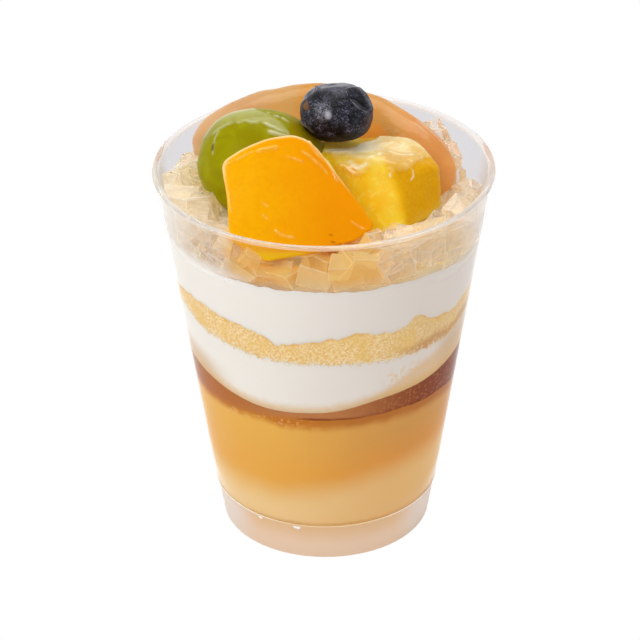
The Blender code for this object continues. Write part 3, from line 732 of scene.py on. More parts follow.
def jellyPlaces(fruitTrees):
    chance = np.random.default_rng(jelly["seed"])
    golden = 180 * (3 - math.sqrt(5))
    top, heap, walled, (start, end) = jelly["top"], jelly["heapPieces"], jelly["wallPieces"], jelly["wallArc"]

    def atWall(azimuth, z, size, gap):
        return around(azimuth, wallRadius(z * mm) - gap * mm, z * mm), size

    def clear(point, size):
        for tree in fruitTrees:
            near, normal, _, away = tree.find_nearest(point)
            if (point - near).dot(normal) < 0 or away < size * jelly["apart"] * mm:
                return False
        return True

    places = []
    for n in range(heap):
        share, azimuth = math.sqrt((n + 0.5) / heap), n * golden
        size = chance.uniform(*jelly["size"])
        z = edgeHeight(top, azimuth, share) / mm - size * 0.5 + chance.uniform(-0.8, 0.4)
        radius = min(share * wallRadius(z * mm), wallRadius(z * mm) - size * 0.42 * mm)
        places.append((around(azimuth, radius, z * mm), size))
    for n in range(walled):
        azimuth = start + n * jelly["wallSweep"] / walled + chance.uniform(-2, 2)
        if azimuth > end:
            azimuth -= end - start - 1
        low, high = edgeHeight(edges["creamHigh"], azimuth) / mm, edgeHeight(top, azimuth) / mm
        size = chance.uniform(*jelly["size"])
        z = low + size * 0.3 + (high - low - size * 0.6) * (n * 2 // walled) + chance.uniform(-0.5, 0.5)
        places.append(atWall(azimuth, z, size, size * 0.52))
    places += [atWall(*piece, piece[2] * 0.5) for piece in jelly["leaning"]]
    places = [place for place in places if clear(*place)]
    places += [atWall(*piece, piece[2] * 0.5) for piece in jelly["front"]]
    places += [atWall(*piece, piece[2] * 0.5 + jelly["behindBy"]) for piece in jelly["behind"]]
    return places + [(Vector(place) * mm, size) for *place, size in jelly["placed"] + jelly["crumbs"]]


def makeCore():
    count, inset, turns = jelly["coreRings"], jelly["coreInset"], turnsOf(jelly["coreSides"])
    low = edges["creamHigh"]

    def top(turn, share):
        return edgeHeight(jelly["top"], turn, share) - jelly["coreDrop"]

    rings = []
    for share in (0.33, 0.66):
        rings.append([around(t, fillRadius(jelly["coreFoot"]) * share, edgeHeight(low, t, share)) for t in turns])
    for share in (0.0, 0.12, 0.5, 1.0):
        levels = [edgeHeight(low, t) * (1 - share) + top(t, 1) * share for t in turns]
        back = inset * min(1.0, 0.3 + share) * (share > 0)
        rings.append([around(t, fillRadius(z) - back, z) for t, z in zip(turns, levels)])
    for n in range(count - 1, 0, -1):
        share = n / count
        rings.append([around(t, (fillRadius(top(t, share)) - inset) * share, top(t, share)) for t in turns])
    ends = (Vector((0, 0, edgeHeight(low, 0, 0))), Vector((0, 0, top(0, 0))))
    core = shell("jellyHeapCore", rings, ends, jellyCoreLook())
    roughen(core, jelly["relief"],
            lambda point: point.z > jelly["smoothUnder"] and point.xy.length < jelly["smoothBeyond"])
    settle(core, "jelly", "jelly")


def meshOf(holder):  # what its modifiers make of it
    graph = bpy.context.evaluated_depsgraph_get()
    return bpy.data.meshes.new_from_object(holder.evaluated_get(graph))


def makeJelly(fruitNodes):
    graph = bpy.context.evaluated_depsgraph_get()
    places = jellyPlaces([BVHTree.FromObject(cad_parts[name], graph) for name in fruitNodes])
    look, *more = [jellyLook(name) for name in jellyTints]
    mesh = bpy.data.meshes.new("jellyPoints")
    mesh.from_pydata([point for point, _ in places], [], [])
    store(mesh, "size", [size * mm for _, size in places])
    holder = bpy.data.objects.new("jellyPoints", mesh)
    scene.collection.objects.link(holder)
    maker = holder.modifiers.new("cubes", "NODES")
    maker.node_group = cubeTree(look)
    sockets = {item.name: item.identifier for item in maker.node_group.interface.items_tree if item.in_out == "INPUT"}
    maker[sockets["Skew"]], maker[sockets["Seed"]] = jelly["skew"], jelly["seed"]
    made = meshOf(holder)
    bpy.data.objects.remove(holder)
    for vertex in made.vertices:  # pressed against the wall and the cream
        flat, most = vertex.co.xy.length, fillRadius(vertex.co.z)
        if flat > most:
            vertex.co.xy *= most / flat
        turn = math.degrees(math.atan2(vertex.co.x, -vertex.co.y))
        least = edgeHeight(edges["creamHigh"], turn, min(1.0, flat / fillRadius(jelly["pressedAt"]))) - 0.1 * mm
        vertex.co.z = max(vertex.co.z, least)
    piece = addPiece("jellyPieces", made, look)
    piece.data.shade_flat()
    for finish in more:
        piece.data.materials.append(finish.material)
    rounding = piece.modifiers.new("rounding", "BEVEL")
    rounding.width, rounding.segments, rounding.limit_method = jelly["bevel"], 2, "NONE"
    rounding.material = 1  # the edges' finish
    bpy.context.view_layer.update()
    rounded = meshOf(piece)
    piece.modifiers.clear()
    piece.data = rounded
    for face in rounded.polygons:  # the pieces before the mango take its colour, a painted glow of its light through them
        x, y = face.center.xy / mm
        if any(narrow * (x - left) ** 2 + (y - front) ** 2 < reach for left, front, narrow, reach in jelly["amber"]):
            face.material_index += 2
    # how far each face turns to the light, for the painted shade
    store(rounded, "facing", arrayOf(rounded.polygons, "normal") @ jelly["bright"], "FACE")
    print("jelly:", len(places), "pieces,", len(rounded.polygons), "faces")
    settle(piece, "jelly", "jelly")


# The fruit

grape = {
    "centre": (-14.2 * mm, -0.4 * mm, 89.4 * mm),
    "halfLength": 13.8 * mm,
    "halfWidth": 12.1 * mm,
    "longer": 1.08,
    "blunt": 0.76,  # of its longer end
    "fuller": 0.03,
    "turn": (5.0, -6.0),
    "dimple": 0.8 * mm,
    "dimpleWidth": 0.16,
    "filmAndGlare": 0.12,
    "filmFade": 0.5,
    "relief": [(9.0, 0.25), (4.0, 0.08)],
    "slot": "grape_skin",
    "node": "grape",
    "sides": 150,
    "steps": 100,
    # where the film of glaze starts: x, then up the slope, and at its right end up the slope, then x
    "filmEdge": [(-24.6, 82.2), (-24.0, 83.0), (-23.1, 83.8), (-21.4, 84.9), (-20.0, 85.3), (-18.6, 85.2),
                 (-17.1, 85.8), (-15.6, 85.2), (-14.3, 85.5), (-12.8, 84.9), (-11.2, 84.2), (-9.5, 83.4),
                 (-8.2, 83.2), (-7.4, 82.4)],
    "filmEnd": [(83.0, -7.6), (84.4, -8.2), (85.6, -9.4), (86.6, -10.8), (87.4, -12.4), (88.4, -15.0)],
    "marks": [
        (0.5, 0.22, [(-24.0, -2.7, 97.9), (-23.1, -2.5, 98.7), (-21.5, -2.5, 99.7), (-20.0, -2.5, 100.4)]),
        (0.45, 0.18, [(-18.7, -3.1, 100.7), (-17.1, -2.8, 101.1), (-15.6, -3.7, 101.0), (-14.3, -3.4, 101.1)]),
        (0.5, 0.25, [(-12.8, -3.8, 100.8), (-11.2, -4.4, 100.3), (-9.5, -4.9, 99.6), (-8.2, -4.6, 99.2),
                     (-7.5, -5.1, 98.7)]),
        (0.4, 0.15, [(-22.9, -3.0, 98.8), (-23.7, -4.1, 97.6), (-24.2, -5.5, 96.4), (-24.2, -6.8, 95.1)]),
        (0.8, 0.3, [(-11.7, -5.7, 99.8), (-9.5, -5.9, 99.1), (-7.7, -5.7, 98.5)]),
        (0.5, 0.35, [(-12.1, 0.8, 101.2)]), (0.5, 0.4, [(-10.6, -0.3, 101.0), (-9.9, -0.4, 100.8)]),
        (0.5, 0.35, [(-9.0, -0.6, 100.5), (-7.8, -1.5, 99.8)]), (0.4, 0.3, [(-6.5, -1.6, 99.1)]),
        (0.75, -0.12, [(-24.3, -5.4, 96.6), (-24.3, -5.9, 95.8)]),
    ],
}


def grapeLook():
    look, x, y, z = softLook("grapeSkin", 0.3, 0.03, 0.2, 3.0, (0.8, 1.0, 0.1))
    vein = look.grain(5.0, 3.0, bend=1.5)
    filmAndGlare, glazeAndSheen = look.stored("filmAndGlare"), look.stored("glazeAndSheen")
    look.body = look.mix(vein.ease(0.35, 0.7), (146, 138, 0), (156, 152, 2))
    # The film of glaze is painted paler, more so higher up the slope: partly its own milky look and partly painted
    # glare
    up = (upSlope(y, z) + 0.5 * vein).ease(85.0, 89.5)
    look.cover(filmAndGlare * (0.18 + 0.26 * up) * x.ease(-26, -22), (206, 208, 140))
    # The glaze's drops are painted paler: painted highlights, stronger on the right
    look.cover(glazeAndSheen * (0.35 + 0.4 * x.ease(-14, -12)), (226, 228, 186))
    look.cover((x + 0.8 * vein).ease(-7.2, -6.6) * 0.7, (156, 130, 6))
    look.cover(look.stored("crease"), (82, 48, 14))
    look.set({"Coat Weight": (0.02 + 0.35 * filmAndGlare + glazeAndSheen).held()})
    return look.done(look.grain(2.5, 3.0), 0.15, 0.3)


def makeGrape():
    tip, yaw = (math.radians(angle) for angle in grape["turn"])
    pose = Matrix.Rotation(yaw, 3, "Z") @ Matrix.Rotation(tip, 3, "Y")

    def point(angle, turn):
        along, front = math.cos(angle), math.cos(angle) < 0
        wide = math.sin(angle) ** (grape["blunt"] if front else 1.0) * grape["halfWidth"]
        wide *= 1.0 + grape["fuller"] * along
        dimple = grape["dimple"] * math.exp(-((angle / grape["dimpleWidth"]) ** 2))
        long = grape["halfLength"] * (grape["longer"] if front else 1.0)
        local = Vector((dimple - long * along, wide * math.cos(turn), wide * math.sin(turn)))
        return pose @ local + Vector(grape["centre"])

    def filmAndGlare(points):  # the thin coat over the top, its wavy edge measured up the slope
        slope, fade = upSlope(points[:, 1], points[:, 2]), grape["filmFade"]
        over = slope - np.interp(points[:, 0], *zip(*grape["filmEdge"]))
        left = np.interp(slope, *zip(*grape["filmEnd"])) - points[:, 0]
        return smooth(over / fade + 0.5) * smooth(left / fade + 0.5)

    angles = [math.pi * n / grape["steps"] for n in range(1, grape["steps"])]
    piece = roundShell("grapeGreen", point, angles, grape["sides"], grapeLook())
    dress(piece, grape, {"filmAndGlare": (grape["filmAndGlare"], filmAndGlare)})


berry = {
    "centre": (2.9 * mm, 0.3 * mm, 101.5 * mm),
    "halfSize": (8.0 * mm, 7.6 * mm, 6.0 * mm),
    "square": 2.2,
    "crownWay": (0.74, -0.26, 0.62),
    "crownAngle": 27.0,
    "crownDepth": 1.1 * mm,
    "crownRim": 0.35 * mm,
    "rimWidth": 0.2,  # of the crown's angle, as is fineTo
    "fineTo": 1.6,
    "lobes": 5,
    "sides": 120,
    "steps": (22, 50),
    "flatAt": 6.9 * mm,
    "flatter": 0.8,
    "relief": [(5.0, 0.35), (1.8, 0.14), (0.8, 0.06)],
    "slot": "berry_skin",
    "node": "blueberry",
    "marks": [
        (0.9, 0.25, [(1.0, -7.0, 104.2)]),
        (0.75, 0.25, [(-2.7, 0.0, 106.4), (-1.1, 0.5, 107.1), (0.6, 1.2, 107.2), (3.7, 1.3, 107.4),
                      (6.3, 1.8, 107.1)]),
        (0.7, 0.25, [(7.4, 1.7, 107.1), (8.7, 1.4, 105.8), (10.0, 0.6, 104.0), (10.6, -1.1, 103.2)]),
        (0.7, 0.3, [(-5.0, -1.9, 100.3), (-3.8, -4.7, 100.2), (-2.3, -5.9, 99.3)]),
        (0.8, -0.35, [(4.7, -3.8, 106.9), (6.3, -1.7, 106.1), (7.6, -1.0, 105.1), (8.9, -1.2, 103.7)]),
        (0.8, -0.35, [(5.8, -5.5, 105.8), (7.3, -5.4, 105.6), (9.1, -2.5, 103.9), (10.2, -1.2, 103.2)]),
        (0.9, 1.1, [(-1.2, 0.9, 106.7)]),
    ],
}


def berryLook():
    look = Look("berryBloom", {"Coat Roughness": 0.2, "Specular IOR Level": 0.12})
    x, y, z = look.axes()
    bloom, dust = look.grain(3.2, 4.0, 0.65), look.grain(0.42, 4.0, 0.85)
    hollow, glazeAndSheen = look.stored("hollow"), look.stored("glazeAndSheen")
    grey = (bloom * 0.55 + dust * 0.45).ease(0.44, 0.62)
    look.body = look.mix(grey, (8, 7, 12), (52, 52, 66))
    # Paler grey towards the top: a painted sheen
    look.cover((z + 0.5 * y + 2.4 * bloom).ease(106.5, 110.0) * 0.4, (112, 112, 122))
    look.cover(dust.ease(0.52, 0.6) * bloom.ease(0.4, 0.6) * 0.5, (144, 146, 166))
    # A painted highlight at the front: a soft halo and a bright spot
    paintedHalo = 0.28 * ((x + 0.2).square() + (z - 105.0).square()).ease(8.0, 0.0) * dust.ease(0.38, 0.62)
    paintedSpot = 0.6 * ((x - 1.0).square() + (z - 104.2).square() + dust).ease(1.6, 0.0)
    look.cover((paintedHalo + paintedSpot) * y.ease(-3, -5), (214, 214, 226))
    look.cover((z + 2 * bloom).ease(101.5, 98.5) * 0.9, (16, 5, 1))
    # A brown fleck at the left is a painted reflection of the fruit beside it
    left = ((x + 4.0).square() + (z - 104.6).square()).ease(1.2, 0.2) * y.ease(-0.6, -2.0)
    look.cover(left * 0.45, (168, 108, 40))
    look.cover(x.ease(8.0, 10.6) * (z + bloom).ease(104.5, 102.0) * 0.6, (88, 52, 36))
    # A pale rim along the upper outline, where the skin is seen edge on, is a painted sheen
    facing = look.number("ShaderNodeLayerWeight", {"Blend": 0.5}, "Facing")
    look.cover(facing.ease(0.6, 0.95) * z.ease(102.5, 105.5) * 0.55, (196, 192, 198))
    # The glaze is painted paler: a painted highlight, strongest at the lower left
    look.cover(glazeAndSheen * (0.4 + 0.4 * x.ease(-1.8, -3) * z.ease(102, 101)), (150, 148, 158))
    # Near black in the crown's hollow and its creases: painted shade
    look.cover((hollow * 0.5 + look.stored("crease")).held() * 0.85, (8, 7, 11))
    look.set({"Roughness": 0.4 + grey * 0.4, "Coat Weight": (0.1 + glazeAndSheen).held()})
    return look.done(bloom + dust * 0.4, 0.3, 0.5)


def makeBerry():
    crown = Vector(berry["crownWay"]).normalized()
    toCrown = Vector((0, 0, 1)).rotation_difference(crown).to_matrix()
    edge, square = math.radians(berry["crownAngle"]), berry["square"]

    def point(away, turn):
        flat = math.sin(away)
        way = toCrown @ Vector((flat * math.cos(turn), flat * math.sin(turn), math.cos(away)))
        bulk = sum(abs(way[k] / berry["halfSize"][k]) ** square for k in range(3))
        skin = way * bulk ** (-1 / square)
        lobe = 0.45 + 0.55 * abs(math.cos(berry["lobes"] * turn / 2)) ** 1.5
        rise = -berry["crownDepth"] * (1 - (away / edge) ** 4) if away < edge else 0.0
        rise += berry["crownRim"] * lobe * math.exp(-(((away - edge) / (berry["rimWidth"] * edge)) ** 2))
        high = skin.dot(crown) - berry["flatAt"]  # the crown's end is pressed flat
        if high > 0:
            skin -= crown * high * berry["flatter"]
        return Vector(berry["centre"]) + skin + way * rise

    fine, coarse = berry["steps"]  # close together round the crown, and wider apart from there on
    near = berry["fineTo"] * edge
    steps = [near * n / fine for n in range(1, fine)] + [near + (math.pi - near) * n / coarse for n in range(coarse)]
    hollow = [[max(0.0, 1 - (away / edge) ** 6)] * berry["sides"] for away in steps]
    stored = {"hollow": (1.0, hollow, 0.0)}
    dress(roundShell("blueberryWhole", point, steps, berry["sides"], berryLook(), stored), berry)


block = {
    # how many steps a corner, an edge, a bevel, the sides and the top are made in
    "corner": 8, "edge": 24, "bevel": 6, "side": 36, "top": 56,
}


def filletRing(corners, rounding):  # a closed ring along straight edges, each corner rounded off
    cuts = []
    for k, corner in enumerate(corners):
        before, after = corners[k - 1] - corner, corners[(k + 1) % len(corners)] - corner
        cut = min(rounding, 0.45 * before.length, 0.45 * after.length)
        cuts.append((corner + before.normalized() * cut, corner + after.normalized() * cut))
    ring = []
    for (start, end), corner, (following, _) in zip(cuts, corners, cuts[1:] + cuts[:1]):
        for share in (n / block["corner"] for n in range(block["corner"])):
            ring.append(start.lerp(corner, share).lerp(corner.lerp(end, share), share))
        ring += [end.lerp(following, n / block["edge"]) for n in range(block["edge"])]
    return ring


def loftBlock(name, low, high, shape, look):  # between two rings of corners, its edges rounded and its top domed
    bevel, side, flat = shape["bevel"], block["side"], block["top"]
    under, over = filletRing(low, shape["corner"]), filletRing(high, shape["corner"])
    middleLow, middleHigh = sum(under, Vector()) / len(under), sum(over, Vector()) / len(over)
    axis = middleHigh - middleLow
    height, dome = axis.length, axis.normalized() * shape["dome"]

    def ring(share, inset):
        made = []
        for a, b in zip(under, over):
            point, middle = a.lerp(b, share), middleLow.lerp(middleHigh, share)
            inward = middle - point
            made.append(point + inward.normalized() * min(inset, inward.length))
        return made

    def rounded(turn):
        return bevel * (1 - math.cos(turn)) / height, bevel * (1 - math.sin(turn))

    quarter = [math.pi / 2 * n / block["bevel"] for n in range(block["bevel"] + 1)]
    rows = [([middleLow.lerp(p, k) for p in ring(0.0, bevel)], 0.0) for k in (0.15, 0.4, 0.7)]
    rows += [(ring(*rounded(turn)), 0.0) for turn in quarter]
    rows += [(ring((bevel + (height - 2 * bevel) * n / side) / height, 0.0), 0.0) for n in range(1, side)]
    for turn in reversed(quarter):
        share, inset = rounded(turn)
        rows.append((ring(1 - share, inset), math.sin(2 * turn)))
    last = rows[-1][0]
    for share in (n / flat for n in range(1, flat)):
        rows.append(([p.lerp(middleHigh, share) + dome * (1 - (1 - share) ** 2) for p in last], 0.0))
    rim = [[value] * len(under) for _, value in rows]
    ends = (middleLow, middleHigh + dome)
    return shell(name, [points for points, _ in rows], ends, look, {"rim": (0.0, rim, 0.0)})


mango = {
    "faceFoot": (-30.6 * mm, 82.6 * mm),
    "lean": 40.0,
    "corners": [(-20.2, 4.4), (-21.9, 20.6), (-17.6, 23.7), (-12.0, 26.2), (-6.4, 26.8),
                (-2.9, 25.5), (-0.4, 23.0), (11.1, 6.4), (6.6, 3.2), (-12.8, -0.8)],
    "marks": [
        (0.6, 0.3, [(-3.1, -14.3, 101.6), (-2.1, -15.6, 100.4), (-0.8, -16.6, 99.2), (0.9, -17.2, 98.0),
                    (2.0, -18.5, 96.7), (2.8, -19.9, 95.3)]),
        (0.5, 0.2, [(-4.4, -16.1, 100.2), (-2.5, -17.0, 99.1), (-0.6, -18.0, 97.7), (0.5, -18.9, 96.7)]),
        (0.4, 0.15, [(-7.7, -17.1, 99.5), (-5.9, -17.4, 99.1), (-4.5, -17.8, 98.6)]),
        (0.35, 0.1, [(-13.3, -23.6, 92.0), (-12.0, -24.3, 91.2)]),
        (0.4, 0.12, [(-13.1, -25.3, 89.8), (-12.2, -25.8, 89.1)]),
        (0.45, 0.12, [(-20.6, -21.2, 93.7), (-20.4, -22.6, 92.0), (-20.0, -24.0, 90.4)]),
        (0.4, 0.18, [(6.0, -26.1, 88.4), (7.2, -26.5, 87.6), (8.5, -26.9, 87.1)]),
        (0.6, 0.25, [(-10.3, -27.4, 87.0), (-8.8, -28.1, 86.2), (-6.9, -28.3, 86.0)]),
        (0.7, 0.3, [(-14.1, -16.0, 100.4), (-12.0, -15.7, 100.7), (-10.2, -15.4, 101.0)]),
        (0.45, 0.15, [(-21.0, -17.9, 98.1), (-18.0, -17.0, 99.3), (-15.4, -16.1, 100.3)]),
        (0.4, -0.1, [(1.4, -27.8, 86.2)]), (0.5, -0.1, [(1.9, -28.7, 84.9)]),
    ],
    "thick": 7.8 * mm,
    "backShare": 0.93,
    "relief": [(11.0, 0.4), (4.5, 0.14), (1.6, 0.03)],
    "slot": "mango_flesh",
    "node": "mango",
    "corner": 1.5 * mm,
    "bevel": 0.8 * mm,
    "dome": 0.7 * mm,
}


def mangoPoint(across, up, depth):
    lean = math.radians(mango["lean"])
    footY, footZ = mango["faceFoot"]
    y = footY + up * math.sin(lean) + depth * math.cos(lean)
    z = footZ + up * math.cos(lean) - depth * math.sin(lean)
    return Vector((across, y, z))


def mangoLook():
    look, x, _, z = softLook("mangoFlesh", 0.3, 0.03, 0.25, 4.0, (1.0, 0.45, 0.05), 0.04)
    cloud, glazeAndSheen = look.grain(9.0, 3.0), look.stored("glazeAndSheen")
    look.body = look.mix((x + 8 * cloud).ease(-16, 8), (252, 180, 0), (243, 152, 0))
    streaks = look.grain(1.0, 2.0, 0.6, look.stretched((50, 0, 0), (1.0, 1.0, 9.0)))
    look.cover(streaks.ease(0.4, 0.7) * 0.25, (240, 146, 0))
    # A pale line along the top edges is a painted highlight of the glaze
    rim = look.stored("rim") * (z + 4 * cloud).ease(94, 100)
    look.cover((rim * 1.4).held() * 0.7, (250, 214, 140))
    # Pale streaks on the glaze: painted highlights
    look.cover(glazeAndSheen * look.grain(1.2, 3.0).ease(0.35, 0.7) * 0.4, (255, 216, 120))
    look.cover(look.stored("crease"), (150, 70, 10))
    # Brighter at the foot: painted light where it stands in the jelly's shade
    look.cover((z + cloud).ease(84.5, 83.5), (255, 196, 0))
    look.set({"Coat Weight": (0.02 + rim + glazeAndSheen).held()})
    return look.done(streaks * 0.5 + cloud, 0.3, 0.25)


def makeMango():
    corners = np.array(mango["corners"])
    middle = corners.mean(axis=0)
    front = [mangoPoint(*(corner * mm), 0.0) for corner in corners]
    back = [mangoPoint(*((middle + (corner - middle) * mango["backShare"]) * mm), mango["thick"]) for corner in corners]
    dress(loftBlock("mangoBlock", back, front, mango, mangoLook()), mango)


pineapple = {
    "low": [(0.4, -22.5, 80.8), (18.2, -19.4, 81.2), (27.2, -6.4, 81.0), (19.4, 4.6, 80.8), (0.6, 3.0, 80.8)],
    "high": [(-2.8, -4.6, 94.0), (15.6, -10.0, 93.6), (26.4, -4.8, 90.4), (19.4, 4.6, 93.2), (0.2, 4.2, 94.2)],
    "relief": [(8.0, 0.6), (3.2, 0.25), (1.2, 0.07)],
    "slot": "pineapple_flesh",
    "node": "pineapple",
    "corner": 3.2 * mm,
    "bevel": 1.8 * mm,
    "dome": 0.7 * mm,
    "cap": 0.4,  # how far the pale skin stands out
    "capRipple": (0.35, 2.2),
    "capFade": (0.7, 0.9),
    # x, then where the skin starts and ends up the slope
    "capEdge": [(0.0, 92.4, 92.4), (1.1, 91.6, 92.4), (2.3, 90.4, 92.4), (3.8, 88.5, 92.4), (5.3, 86.8, 92.6),
                (6.8, 85.6, 93.0), (8.1, 86.3, 93.6), (9.2, 87.5, 94.1), (10.3, 88.4, 94.3), (11.8, 88.7, 94.8),
                (13.6, 88.9, 99.0), (15.3, 88.0, 99.0), (16.8, 87.1, 99.0), (18.4, 87.6, 99.0), (19.7, 88.8, 99.0),
                (21.1, 89.6, 99.0), (22.8, 90.2, 99.0), (25.0, 89.6, 99.0)],
    "marks": [
        (1.1, 0.4, [(2.3, -4.6, 94.0), (4.7, -4.5, 94.1), (7.1, -7.0, 94.2), (9.7, -7.3, 94.1), (12.3, -6.2, 94.2)]),
        (0.8, 0.35, [(5.7, -8.1, 93.3), (7.5, -9.7, 92.6), (9.2, -9.1, 93.3)]),
        (1.0, 0.35, [(14.6, -3.7, 93.6), (17.2, -4.2, 92.9), (19.4, -3.2, 92.6)]),
        (0.55, 0.35, [(17.5, -7.8, 93.0), (18.4, -8.4, 92.6)]),
        (0.45, 0.3, [(19.3, -8.7, 91.7), (19.5, -9.6, 90.7), (19.0, -10.3, 90.1)]),
        (0.6, 0.35, [(13.8, -10.1, 92.9), (15.1, -10.2, 92.5)]),
        (0.5, 0.35, [(14.2, -10.7, 91.9), (14.8, -11.2, 91.1)]),
        (0.55, 0.35, [(7.5, -10.1, 93.0), (7.9, -10.3, 92.7)]),
        (0.5, 0.25, [(21.4, -3.7, 92.1), (23.5, -6.2, 91.4), (25.1, -6.0, 88.3), (25.5, -5.0, 84.3)]),
    ],
}


def pineappleLook():
    look, x, y, z = softLook("pineappleFlesh", 0.35, 0.04, 0.25, 3.0, (1.0, 0.75, 0.15), 0.04)
    cloud, dots = look.grain(5.0, 3.0), look.grain(0.5, 3.0, 0.7)
    swirl = look.grain(2.6, 3.0, 0.55, look.stretched((0, 0, 20), (2.2, 1.0, 1.0)), 1.2)
    cap, glazeAndSheen = look.stored("cap"), look.stored("glazeAndSheen")
    look.body = look.mix(cloud.ease(0.35, 0.65), (252, 192, 0), (250, 206, 30))
    ridge = x + 0.5 * y + 2.4 * (cloud - 0.5)
    # A paler band near the ridge, higher up, is a painted glow
    look.cover(ridge.ease(3.0, 6.6) * ridge.ease(10.0, 7.6) * (z + 5 * cloud).ease(85.0, 89.0) * 0.4, (254, 224, 90))
    look.cover((z + 4 * cloud).ease(86.0, 83.0) * 0.6, (244, 208, 74))
    streaks = look.grain(1.6, 3.0, 0.6, look.stretched((30, -15, 0), (1.0, 1.0, 3.5)), 0.6)
    look.cover(streaks.ease(0.48, 0.66) * 0.55, (255, 228, 90))
    right = look.mix(dots.ease(0.3, 0.7), (222, 156, 0), (230, 172, 12))
    look.cover(ridge.ease(8.0, 11.2), look.mix((z + 3 * cloud).ease(86.0, 82.5) * 0.8, right, (230, 192, 70)))
    slope = z + 0.5 * y + 1.5 * swirl
    skin = look.mix(swirl.ease(0.3, 0.66), (241, 206, 122), (246, 222, 160))
    # Paler still at the top left: painted light where the blueberry's shadow falls
    skin = look.mix(x.ease(14, 9) * slope.ease(91.5, 93.5) * 0.8, skin, (255, 244, 208))
    look.cover(cap * (0.55 + 0.6 * swirl).held() * (0.3 + 0.7 * slope.ease(91.0, 94.0)), skin)
    # Paler glaze streaks on the skin and white drops at the front are painted highlights
    look.cover(glazeAndSheen * cap * 0.5, (254, 240, 200))
    look.cover(glazeAndSheen**3 * y.ease(-7, -8.5) * 0.8, (255, 248, 222))
    look.set({"Coat Weight": (0.05 + 0.6 * cap + 0.6 * glazeAndSheen).held()})
    return look.done(swirl * 0.6 + dots * 0.2, 0.5, 0.4)


def makePineapple():
    def cap(points):  # the pale skin that hangs over the front
        (height, wave), (under, over) = pineapple["capRipple"], pineapple["capFade"]
        xs, starts, stops = zip(*pineapple["capEdge"])
        slope = points[:, 2] + 0.5 * points[:, 1]
        slope += [height * ripple(point * mm, wave) for point in points]
        above, left = slope - np.interp(points[:, 0], xs, starts), np.interp(points[:, 0], xs, stops) - slope
        return smooth(above / under + 0.5) * smooth(left / over + 0.5)

    low, high = ([Vector(corner) * mm for corner in pineapple[end]] for end in ("low", "high"))
    piece = loftBlock("pineappleBlock", low, high, pineapple, pineappleLook())
    dress(piece, pineapple, {"cap": (pineapple["cap"], cap)})


peach = {
    "centre": (-0.3 * mm, 7.3 * mm, 89.7 * mm),
    "lean": 26.0, "roll": 4.4, "yaw": -7.5,
    "halfSpan": 30.7 * mm,
    "reach": 20.9 * mm,
    "arch": 1.68,
    "arc": (-34.0, 200.0),
    "halfWidth": (9.0 * mm, 7.6 * mm),
    "fuller": 1.6 * mm,
    "thick": 13.0 * mm,
    "pitSide": 0.72,
    "square": 2.5,
    "end": 7,
    "relief": [(12.0, 0.6), (5.0, 0.2), (1.5, 0.05)],
    "slot": "peach_flesh",
    "node": "peach",
    "sides": 110,
    "steps": 190,
    "marks": [
        (0.5, 0.3, [(21.3, 14.9, 91.6), (23.5, 12.9, 90.6), (26.1, 10.5, 89.0), (28.3, 8.4, 86.9),
                    (29.3, 6.1, 84.7)]),
        (0.4, 0.2, [(20.2, 14.2, 92.0), (22.3, 12.3, 91.0), (24.8, 10.0, 89.4), (26.8, 7.8, 87.4)]),
        (0.5, 0.3, [(14.0, 12.0, 91.4)]), (0.45, 0.3, [(15.1, 11.1, 90.9)]), (0.6, 0.35, [(16.5, 11.6, 91.4)]),
        (0.5, 0.3, [(17.6, 10.1, 90.6)]), (0.4, 0.25, [(15.8, 12.3, 91.7)]),
    ],
}


def peachLook():
    look, x, y, z = softLook("peachFlesh", 0.3, 0.1, 0.3, 4.0, (1.0, 0.5, 0.25), 0.06)
    look.set({"Coat Weight": 0.3})
    cloud = look.grain(10.0, 3.0)
    across, edge = x + 3 * cloud, x + 2 * cloud
    look.body = look.mix(cloud.ease(0.3, 0.7), (240, 176, 84), (234, 166, 84))
    look.cover((x + 4 * cloud).ease(10, 28), (217, 143, 68))
    back = look.mix(across.ease(-2, -6), (212, 142, 34), (209, 156, 84))
    look.cover((y + 3 * cloud).ease(10, 22) * across.ease(12, 2), back)
    look.cover(across.ease(-9, -18), (214, 166, 116))
    # Darker to the right of the blueberry: its painted shadow
    look.cover(x.ease(7, 11) * x.ease(20, 13) * 0.8, (208, 144, 62))
    # A warm orange spot behind the blueberry is a painted glow of light through the flesh
    paintedGlow = ((x - 11).square() + (upSlope(y, z) - 83.4).square()).ease(14, 1)
    look.cover(paintedGlow * 0.8, (250, 156, 30))
    # Lighter at the low right tip: painted light where the jelly and pineapple shade it
    look.cover(edge.ease(25, 29) * z.ease(88, 85), (231, 157, 80))
    look.cover(edge.ease(-10, -14) * edge.ease(-24, -18) * 0.6, (206, 150, 90))
    # The glaze is painted paler: painted highlights
    look.cover(look.stored("glazeAndSheen") * 0.4, (250, 222, 190))
    return look.done(look.grain(1.5, 3.0) + look.cells(1.2).ease(0.3, 0.0) * x.ease(8, 18), 0.25, 0.3)


def squared(angle, power):
    return [math.copysign(abs(part) ** (2 / power), part) for part in (math.cos(angle), math.sin(angle))]


